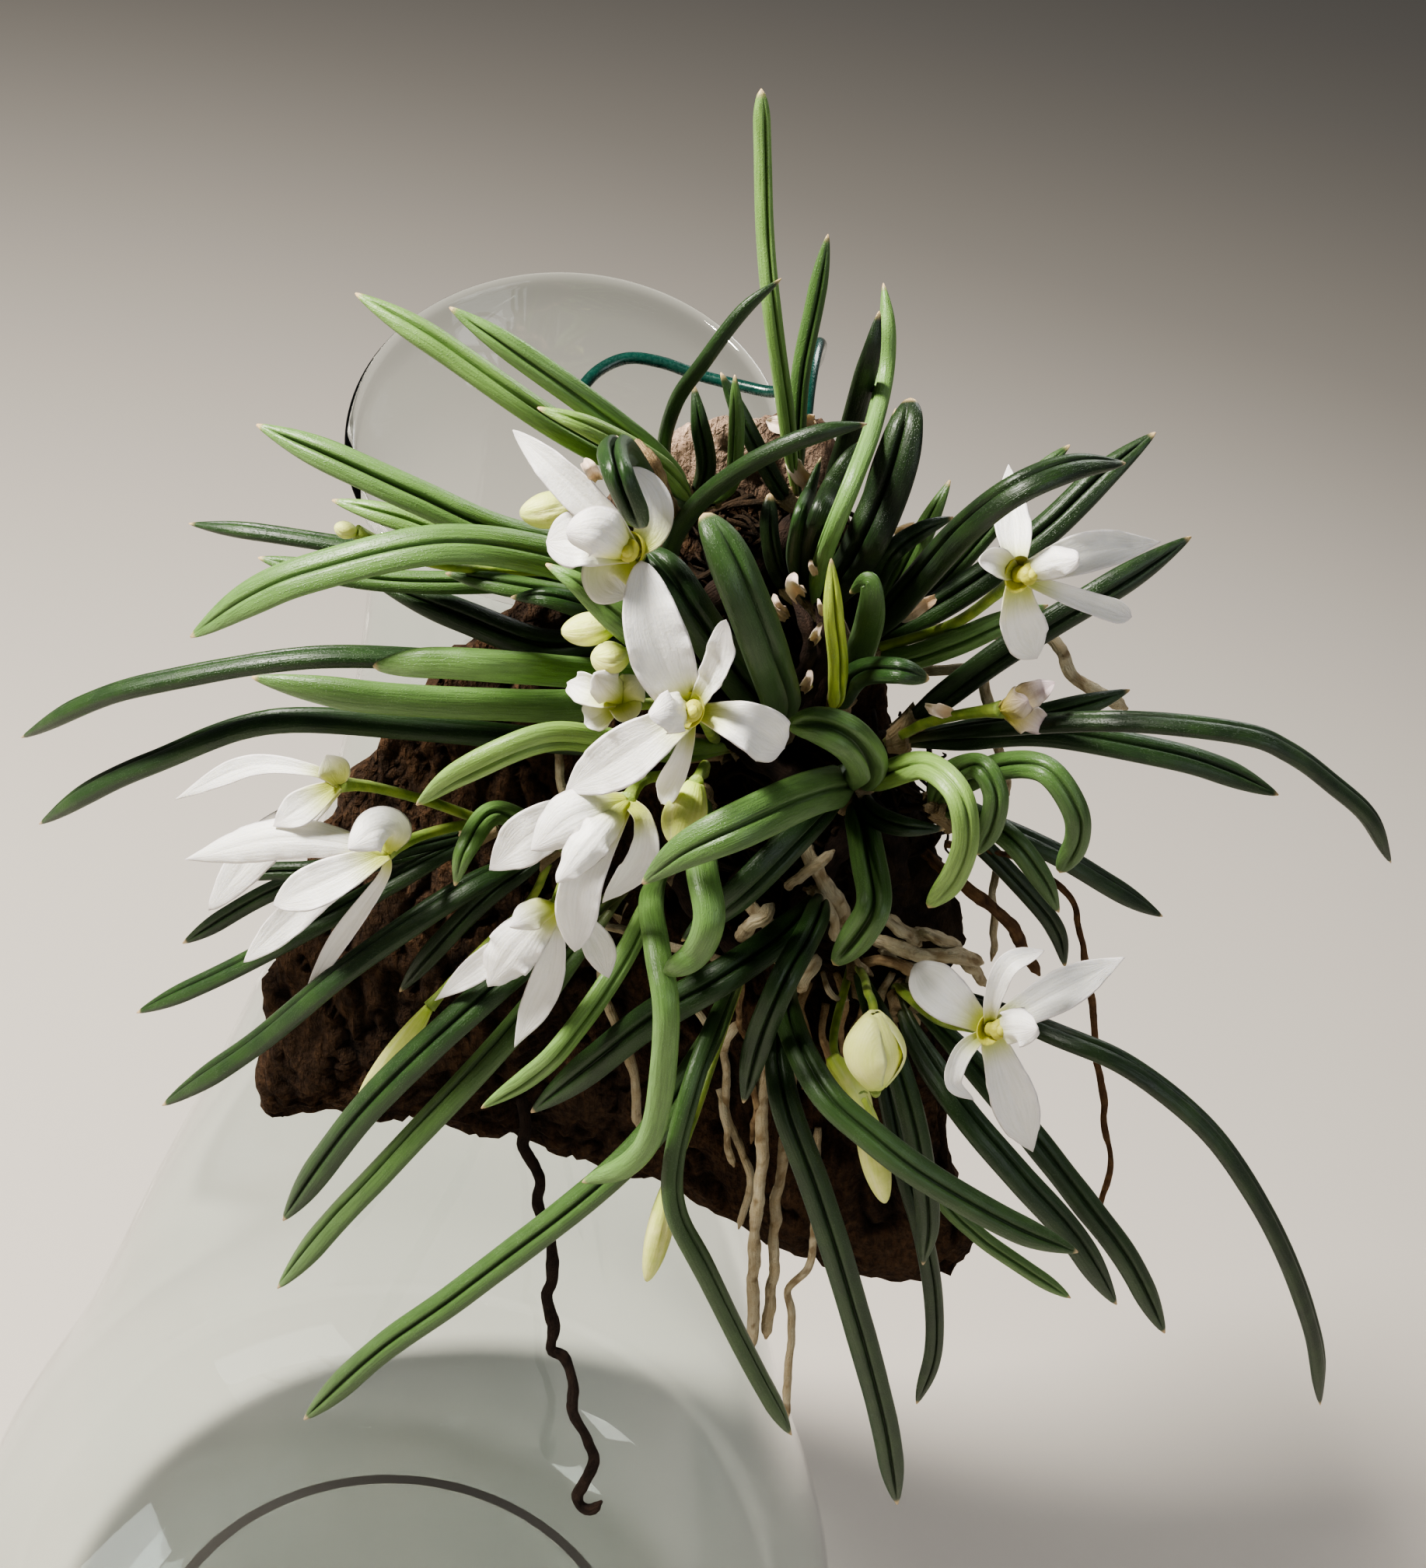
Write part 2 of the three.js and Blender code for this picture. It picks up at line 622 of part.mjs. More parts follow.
// Rings of equally many points, closed at both ends by a middle point, as one solid.
function lofted(rings) {
  const sides = rings[0].length;
  const middle = (ring) => ring.reduce((sum, p) => sum.add(p), new THREE.Vector3()).divideScalar(sides);
  const corners = [...rings.flat(), middle(rings[0]), middle(rings.at(-1))];
  const first = rings.length * sides;
  const faces = [];
  for (let side = 0; side < sides; side++) {
    const next = (side + 1) % sides;
    for (let ring = 0; ring + 1 < rings.length; ring++) {
      const a = ring * sides;
      const b = a + sides;
      faces.push(a + side, a + next, b + next, a + side, b + next, b + side);
    }
    const last = first - sides;
    faces.push(first, next, side, first + 1, last + side, last + next);
  }
  const geometry = new THREE.BufferGeometry();
  const numbers = corners.flatMap((p) => p.toArray());
  geometry.setAttribute("position", new THREE.Float32BufferAttribute(numbers, 3));
  geometry.setIndex(faces);
  return solidOf(geometry);
}

// A blade along a line of points: an oval section whose half sizes follow the way t, from 0 to 1.
function blade(points, sides, halfWidth, halfThickness) {
  const rings = points.map((point, i) => {
    const before = points[Math.max(i - 1, 0)];
    const after = points[Math.min(i + 1, points.length - 1)];
    const along = after.clone().sub(before).normalize();
    const across = along.clone().cross(forward).normalize();
    const facing = along.clone().cross(across);
    const t = i / (points.length - 1);
    return Array.from({ length: sides }, (_, k) => {
      const turn = (2 * Math.PI * k) / sides;
      return point
        .clone()
        .addScaledVector(across, Math.cos(turn) * halfWidth(t))
        .addScaledVector(facing, Math.sin(turn) * halfThickness(t));
    });
  });
  return lofted(rings);
}

function smoothLine(points, count) {
  return new THREE.CatmullRomCurve3(points, false, "catmullrom", 0.5).getPoints(count);
}

function tube(points, radius, grow) {
  const line = smoothLine(points, points.length);
  const thick = () => radius + grow;
  return blade(line, 4, thick, thick);
}

function ball(centre, radius) {
  const geometry = new THREE.SphereGeometry(radius, 6, 4);
  geometry.translate(centre.x, centre.y, centre.z);
  return solidOf(geometry);
}

function joined(solids) {
  return solids.reduce((all, solid) => all.add(solid));
}

// A leaf's thickness: a blunt tip at t = 0, full along most of its length, and a narrow stalk at the
// knot, t = 1.
function leafShare(t) {
  const tip = Math.sqrt(Math.min(1, 0.03 + t * 3.2));
  const base = 1 - 0.62 * THREE.MathUtils.smoothstep(t, 0.78, 1);
  return tip * base;
}

// A tepal's width: pointed at the tip, widest past the middle, narrow at the flower's centre.
function tepalShare(t) {
  return 0.08 + 0.92 * Math.sin(Math.PI * Math.pow(0.04 + 0.86 * t, 0.9));
}

// The vase: a wall turned about the axis, then its mouth slanted towards the front.
function vase(grow) {
  const outside = new THREE.CatmullRomCurve3(
    [
      [FOOT_RADIUS, 0], [FOOT_RADIUS + 18, 6], [BODY_RADIUS - 6, 28], [BODY_RADIUS, BODY_LEVEL],
      [95, 120], [78.7, 170], [61.6, 220], [47.5, 270], [39.5, 315],
      [NECK_RADIUS, NECK_LEVEL], [38.8, 372], [MOUTH_RADIUS, VASE_HEIGHT],
    ].map(([r, z]) => new THREE.Vector3(r, z, 0)),
  ).getPoints(15);
  const outer = outside.map((p) => new THREE.Vector2(p.x + grow, p.y));
  const inner = outside
    .filter((p) => p.y > 12)
    .map((p) => new THREE.Vector2(p.x - GLASS - grow, Math.max(p.y, FOOT_THICKNESS + grow)))
    .reverse();
  const lip = new THREE.Vector2(MOUTH_RADIUS - GLASS / 2, VASE_HEIGHT + GLASS / 2 + grow);
  const profile = [
    new THREE.Vector2(0, -grow),
    new THREE.Vector2(FOOT_RADIUS + grow, -grow),
    ...outer.slice(1),
    lip,
    ...inner,
    new THREE.Vector2(FOOT_RADIUS, FOOT_THICKNESS + grow),
    new THREE.Vector2(0, FOOT_THICKNESS + grow),
  ];
  const geometry = new THREE.LatheGeometry(profile, VASE_SIDES);
  geometry.rotateX(Math.PI / 2);
  const place = geometry.attributes.position;
  for (let i = 0; i < place.count; i++) {
    const share = THREE.MathUtils.smoothstep(place.getZ(i), VASE_HEIGHT - SLANT_HEIGHT, VASE_HEIGHT);
    place.setZ(i, place.getZ(i) + share * Math.tan(MOUTH_SLANT) * place.getY(i));
  }
  return solidOf(geometry);
}

// How a slab's edge is rounded, in mm: near the rim, at the rim in front, and at the rim behind.
const EDGE_FALL = 0.8;
const EDGE_ROUND = 3;
const EDGE_BACK = 2;

// A slab with a hand-picked outline: rings of places about a centre, on its front and on its back.
function slab(outline, centre, front, back, grow) {
  const ring = (share, out) =>
    outline.map(([px, py]) => {
      const dx = px - centre[0];
      const dy = py - centre[1];
      const reach = Math.hypot(dx, dy);
      const wider = (share * reach + grow * PX_PER_MM) / reach;
      return standing([centre[0] + dx * wider, centre[1] + dy * wider, out]);
    });
  return lofted([
    ring(0.55, front + grow),
    ring(0.9, front + grow - EDGE_FALL),
    ring(1, front + grow - EDGE_ROUND),
    ring(1, back - grow + EDGE_BACK),
    ring(0.93, back - grow),
    ring(0.55, back - grow),
  ]);
}

function wire(grow) {
  const line = smoothLine(WIRE_ROUTE.map(([px, py, depth]) => pointAt(px, py, depth)), 22);
  const thick = () => WIRE_RADIUS + grow;
  return blade(line, 6, thick, thick);
}

function root({ wide, points }, grow) {
  return tube(points.map(standing), wide / 2, grow);
}

// A tepal stops just short of the flower's centre, inside the ball there.
function tepal({ wide, points }, centre, grow) {
  const base = centre.map((value, k) => value + 0.08 * (points.at(-1)[k] - value));
  const line = smoothLine([...points, base].map(standing), 4);
  return blade(line, 4, (t) => (tepalShare(t) * wide) / 2 + grow, () => TEPAL_THICKNESS / 2 + grow);
}

function flower({ centre, tepals, stalk }, grow) {
  return joined([
    ball(standing(centre), FLOWER_HEART + grow),
    ...Object.values(tepals).map((row) => tepal(row, centre, grow)),
    tube([centre, ...stalk].map(standing), STALK_RADIUS, grow),
  ]);
}

function bud({ wide, tip, base, stalk }, grow) {
  const line = smoothLine([tip, base].map(standing), 4);
  const thick = (t) => (wide / 2) * Math.sqrt(Math.max(0.06, Math.sin(Math.PI * (0.03 + 0.9 * t)))) + grow;
  return joined([
    blade(line, 6, thick, thick),
    tube([base, ...stalk].map(standing), STALK_RADIUS, grow),
  ]);
}

// Leaves as rows of places that can still move in depth: 25 samples from the tip to the knot.
const SAMPLES = 24;

function leafRows() {
  const rows = [];
  for (const [shoot, { knot, leaves }] of Object.entries(SHOOTS)) {
    for (const { wide, points } of Object.values(leaves)) {
      const line = smoothLine([...points, knot].map((p) => new THREE.Vector3(...p)), SAMPLES);
      rows.push({ shoot, wide, line });
    }
  }
  return rows;
}

const SETTLE_ROUNDS = 60;
const SETTLE_PACE = 0.6;
const FREE_SHARE = 0.8;

// What a leaf may not cross: samples with a half width across the view and a half thickness along it.
function obstacles() {
  const found = [];
  for (const { centre, tepals } of Object.values(FLOWERS)) {
    for (const { wide, points } of Object.values(tepals)) {
      smoothLine([...points, centre].map((p) => new THREE.Vector3(...p)), 10).forEach((place, i) => {
        found.push({ place, half: (tepalShare(i / 10) * wide) / 2, thick: TEPAL_THICKNESS / 2 });
      });
    }
  }
  for (const { wide, tip, base } of Object.values(BUDS)) {
    smoothLine([tip, base].map((p) => new THREE.Vector3(...p)), 6).forEach((place) => {
      found.push({ place, half: wide / 2, thick: wide / 2 });
    });
  }
  return found;
}

// Leaves that meet are moved apart in depth only, a little each round, and each leaf stays a smooth line.
function settle(rows) {
  const samples = [];
  rows.forEach((row, leaf) => {
    row.line.forEach((place, i) => {
      const t = i / SAMPLES;
      const half = (leafShare(t) * row.wide) / 2;
      samples.push({ place, half, thick: half, leaf, i, free: t <= FREE_SHARE });
    });
  });
  const fixed = obstacles().map((o) => ({ ...o, leaf: -1, free: true }));
  const all = [...samples, ...fixed];
  const pairs = [];
  samples.forEach((a, n) => {
    for (let m = n + 1; m < all.length; m++) {
      const b = all[m];
      if (a.leaf === b.leaf || !a.free || !b.free) continue;
      const apart = Math.hypot(a.place.x - b.place.x, a.place.y - b.place.y) / PX_PER_MM;
      const reach = a.half + b.half;
      if (apart >= reach) continue;
      const need = (a.thick + b.thick + GAP) * Math.sqrt(1 - (apart / reach) ** 2);
      const order = a.place.z >= b.place.z ? 1 : -1;
      pairs.push({ a, b, need, order });
    }
  });
  for (let round = 0; round < SETTLE_ROUNDS; round++) {
    const push = rows.map(() => new Float64Array(SAMPLES + 1));
    for (const { a, b, need, order } of pairs) {
      const short = need - order * (a.place.z - b.place.z);
      if (short <= 0) continue;
      const share = b.leaf < 0 ? 1 : 0.5;
      push[a.leaf][a.i] = larger(push[a.leaf][a.i], order * short * share);
      if (b.leaf >= 0) push[b.leaf][b.i] = larger(push[b.leaf][b.i], -order * short * share);
    }
    rows.forEach((row, leaf) => {
      const eased = push[leaf].map((value, i, list) => {
        const before = list[Math.max(i - 1, 0)];
        const after = list[Math.min(i + 1, SAMPLES)];
        return 0.5 * value + 0.25 * (before + after);
      });
      row.line.forEach((place, i) => {
        place.z += SETTLE_PACE * eased[i];
      });
    });
  }
}

function larger(a, b) {
  return Math.abs(b) > Math.abs(a) ? b : a;
}

const rows = leafRows();
settle(rows);

// A shoot's seat reaches down to the bark, and every fourth sample of a leaf is enough for its solid.
const SEAT_OUT = -3;
const LEAF_STEP = 4;

function shoot(name, grow) {
  const knot = standing(SHOOTS[name].knot);
  const [px, py] = SHOOTS[name].knot;
  const seat = standing([px, py, SEAT_OUT]);
  const leaves = rows
    .filter((row) => row.shoot === name)
    .map(({ wide, line }) => {
      const points = line.filter((_, i) => i % LEAF_STEP === 0).map((p) => standing(p.toArray()));
      const thick = (t) => (leafShare(t) * wide) / 2 + grow;
      return blade(points, 5, thick, thick);
    });
  return joined([ball(knot, KNOT_RADIUS + grow), tube([knot, seat], KNOT_RADIUS - 1, grow), ...leaves]);
}

// Every piece, in the order they are fitted: a later piece is cut back where it would meet an earlier one.
const colours = {
  glass: new THREE.MeshStandardMaterial({
    color: 0xdfe8e6,
    roughness: 0.05,
    transparent: true,
    opacity: 0.35,
  }),
  bark: new THREE.MeshStandardMaterial({ color: 0x3a2416, roughness: 0.95 }),
  wire: new THREE.MeshStandardMaterial({ color: 0x0f4a3c, roughness: 0.3 }),
  moss: new THREE.MeshStandardMaterial({ color: 0x241a10, roughness: 1 }),
  darkRoot: new THREE.MeshStandardMaterial({ color: 0x33241b, roughness: 0.8 }),
  paleRoot: new THREE.MeshStandardMaterial({ color: 0xcbbf9f, roughness: 0.8 }),
  leaf: new THREE.MeshStandardMaterial({ color: 0x2f5a26, roughness: 0.5 }),
  petal: new THREE.MeshStandardMaterial({ color: 0xf3f1e8, roughness: 0.6 }),
  bud: new THREE.MeshStandardMaterial({ color: 0xdfe3a0, roughness: 0.6 }),
};

const DARK_ROOTS = ["root_long_dark", "root_brown", "root_thin"];
const pieces = [
  ["vase_glass", vase, colours.glass],
  ["bark_slab", (grow) => slab(BARK_OUTLINE, BARK_CENTRE, 0, -BARK_THICKNESS, grow), colours.bark],
  ["wire_hanger", wire, colours.wire],
  ["root_mat", (grow) => slab(MAT_OUTLINE, MAT_CENTRE, MAT_THICKNESS, GAP, grow), colours.moss],
  ...Object.entries(ROOTS).map(([name, row]) => [
    name,
    (grow) => root(row, grow),
    DARK_ROOTS.includes(name) ? colours.darkRoot : colours.paleRoot,
  ]),
  ...Object.entries(FLOWERS).map(([name, row]) => [name, (grow) => flower(row, grow), colours.petal]),
  ...Object.entries(BUDS).map(([name, row]) => [name, (grow) => bud(row, grow), colours.bud]),
  ...Object.keys(SHOOTS).map((name) => [name, (grow) => shoot(name, grow), colours.leaf]),
];

function boxesMeet(a, b) {
  const one = a.boundingBox();
  const two = b.boundingBox();
  return [0, 1, 2].every((k) => one.min[k] <= two.max[k] && two.min[k] <= one.max[k]);
}

function largest(solid) {
  return solid.decompose().reduce((best, part) => (part.volume() > best.volume() ? part : best));
}

const orchid = new THREE.Group();
const placed = [];
for (const [name, make, material] of pieces) {
  let solid = make(0);
  for (const wider of placed) {
    if (boxesMeet(solid, wider)) solid = solid.subtract(wider);
  }
  solid = largest(solid);
  placed.push(make(GAP));
  const { vertProperties, triVerts } = solid.getMesh();
  const geometry = new THREE.BufferGeometry();
  geometry.setAttribute("position", new THREE.BufferAttribute(vertProperties, 3));
  geometry.setIndex(new THREE.BufferAttribute(triVerts, 1));
  geometry.computeVertexNormals();
  const mesh = new THREE.Mesh(geometry, material);
  mesh.name = name;
  orchid.add(mesh);
}

export default orchid;
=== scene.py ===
# %% [markdown]
# # A leptotes orchid on bark, hung on a glass vase
#
# The real thing is a small orchid grown on a slab of cork bark. A coated wire hooks the slab over the
# mouth of a clear glass vase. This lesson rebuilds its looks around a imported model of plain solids.
#
# Every shape here is worked out in millimetres as whole numpy arrays and turned into metres at the very
# end. Modelling each leaf by hand would give the same shapes, but a rule with a few numbers for each
# leaf is easier to read and to change.

import bpy
import numpy as np
from mathutils import Matrix, Vector


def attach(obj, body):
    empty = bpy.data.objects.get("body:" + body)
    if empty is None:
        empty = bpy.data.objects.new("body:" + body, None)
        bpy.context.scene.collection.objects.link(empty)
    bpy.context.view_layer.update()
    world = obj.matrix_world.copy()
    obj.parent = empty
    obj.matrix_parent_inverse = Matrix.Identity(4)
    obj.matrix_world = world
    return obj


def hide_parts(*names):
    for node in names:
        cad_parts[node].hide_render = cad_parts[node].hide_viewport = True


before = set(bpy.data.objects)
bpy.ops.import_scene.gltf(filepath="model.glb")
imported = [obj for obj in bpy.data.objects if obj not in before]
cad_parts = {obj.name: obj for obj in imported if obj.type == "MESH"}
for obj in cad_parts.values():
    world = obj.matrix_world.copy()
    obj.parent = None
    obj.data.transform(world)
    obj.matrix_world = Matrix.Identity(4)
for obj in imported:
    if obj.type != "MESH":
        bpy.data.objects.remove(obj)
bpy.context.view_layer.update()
MM = 0.001
print("plain solids:", len(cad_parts))

# %% [markdown]
# ## The view that places are given in
#
# Leaves and flowers are placed by where they are seen: a pixel across, a pixel down, and how many
# millimetres the place stands out from the bark's front face. For that the eye has to be known. It
# looks down by 30 degrees, is rolled a little, and sees the middle of the vase's mouth at a known pixel.

# %% The eye, its directions and the bark's face
PICTURE_WIDTH = 1834
PICTURE_HEIGHT = 2016
FOCAL_PX = 2800
VIEW_PITCH = np.radians(30)
VIEW_ROLL = np.radians(-11)
MOUTH_PX = (731, 563)
MOUTH_DEPTH = 446
VASE_HEIGHT = 390
BARK_ROW = 800
BARK_DEPTH = 412
BARK_SLOPE = 0.0755
PX_PER_MM = 6.6

level = np.array([1.0, 0.0, 0.0])
forward = np.array([0.0, np.cos(VIEW_PITCH), -np.sin(VIEW_PITCH)])
right = np.cos(VIEW_ROLL) * level + np.sin(VIEW_ROLL) * np.cross(forward, level)
down = np.cross(forward, right)


def ray(px, py):
    """The way from the eye through a picture place, for each millimetre along the view."""
    across = (np.asarray(px, float) - PICTURE_WIDTH / 2) / FOCAL_PX
    fall = (np.asarray(py, float) - PICTURE_HEIGHT / 2) / FOCAL_PX
    return forward + across[..., None] * right + fall[..., None] * down


eye = np.array([0.0, 0.0, VASE_HEIGHT]) - MOUTH_DEPTH * ray(*MOUTH_PX)


def seen(places):
    """Points in mm of places given as (pixel across, pixel down, mm from the eye along the view)."""
    px, py, depth = np.moveaxis(np.asarray(places, float), -1, 0)
    return eye + depth[..., None] * ray(px, py)


def standing(places):
    """Points in mm of places given as (pixel across, pixel down, mm out from the bark's face).
    The face lies deeper further down the picture, by a fixed slope."""
    px, py, out = np.moveaxis(np.asarray(places, float), -1, 0)
    depth = BARK_DEPTH + BARK_SLOPE * (py - BARK_ROW) - out
    return eye + depth[..., None] * ray(px, py)


print("the eye is at", np.round(eye, 1), "mm")

# %% The camera
SENSOR = 36.0
camera_data = bpy.data.cameras.new("camera")
camera_data.sensor_fit = "VERTICAL"
camera_data.sensor_height = SENSOR
camera_data.lens = FOCAL_PX / PICTURE_HEIGHT * SENSOR
camera_data.clip_start = 0.01
camera = bpy.data.objects.new("camera", camera_data)
turn = Matrix([right, -down, -forward]).transposed()
camera.matrix_world = Matrix.Translation(Vector(eye * MM)) @ turn.to_4x4()
bpy.context.scene.collection.objects.link(camera)
bpy.context.scene.camera = camera
print("lens:", round(camera_data.lens, 1), "mm")

# %% [markdown]
# ## The given places
#
# A row is a width in mm and places, from a tip to a base. Each shoot has a knot, where its leaves meet.
# These are the places that the plain solids were made from, so what is built here stands where they
# stand. A leaf's row and a tepal's row also say how it looks, where it differs from a plain one.


# %% Rows of places
def path(wide, *places, **look):
    """A row: a width, places, and whatever else there is to say of its looks, by name."""
    return {"wide": wide, "places": places, "look": look}


def leaf(wide, tone, turn, *places, **look):
    """tone is how green it is, from dark to young, and it is also set darker for a leaf that lies in shade,
    as painted shade. turn is how far its groove is turned from the eye, in degrees. thick is its
    thickness as a share of its width, deep and gape are the groove's depth and width, and blunt is how
    round the tip is. A bite is a notch in the rim: where along it, on which side and how deep. away is
    the direction that the section is squared to."""
    return path(wide, *places, tone=tone, turn=turn, **look)


def tepal(wide, *places, **look):
    """peak is where it is widest, sharp how pointed, claw the width of its foot, cup how far it bends
    into a channel, ruffle how much its rim waves, and turn how far it is turned, in degrees."""
    return path(wide, *places, **look)


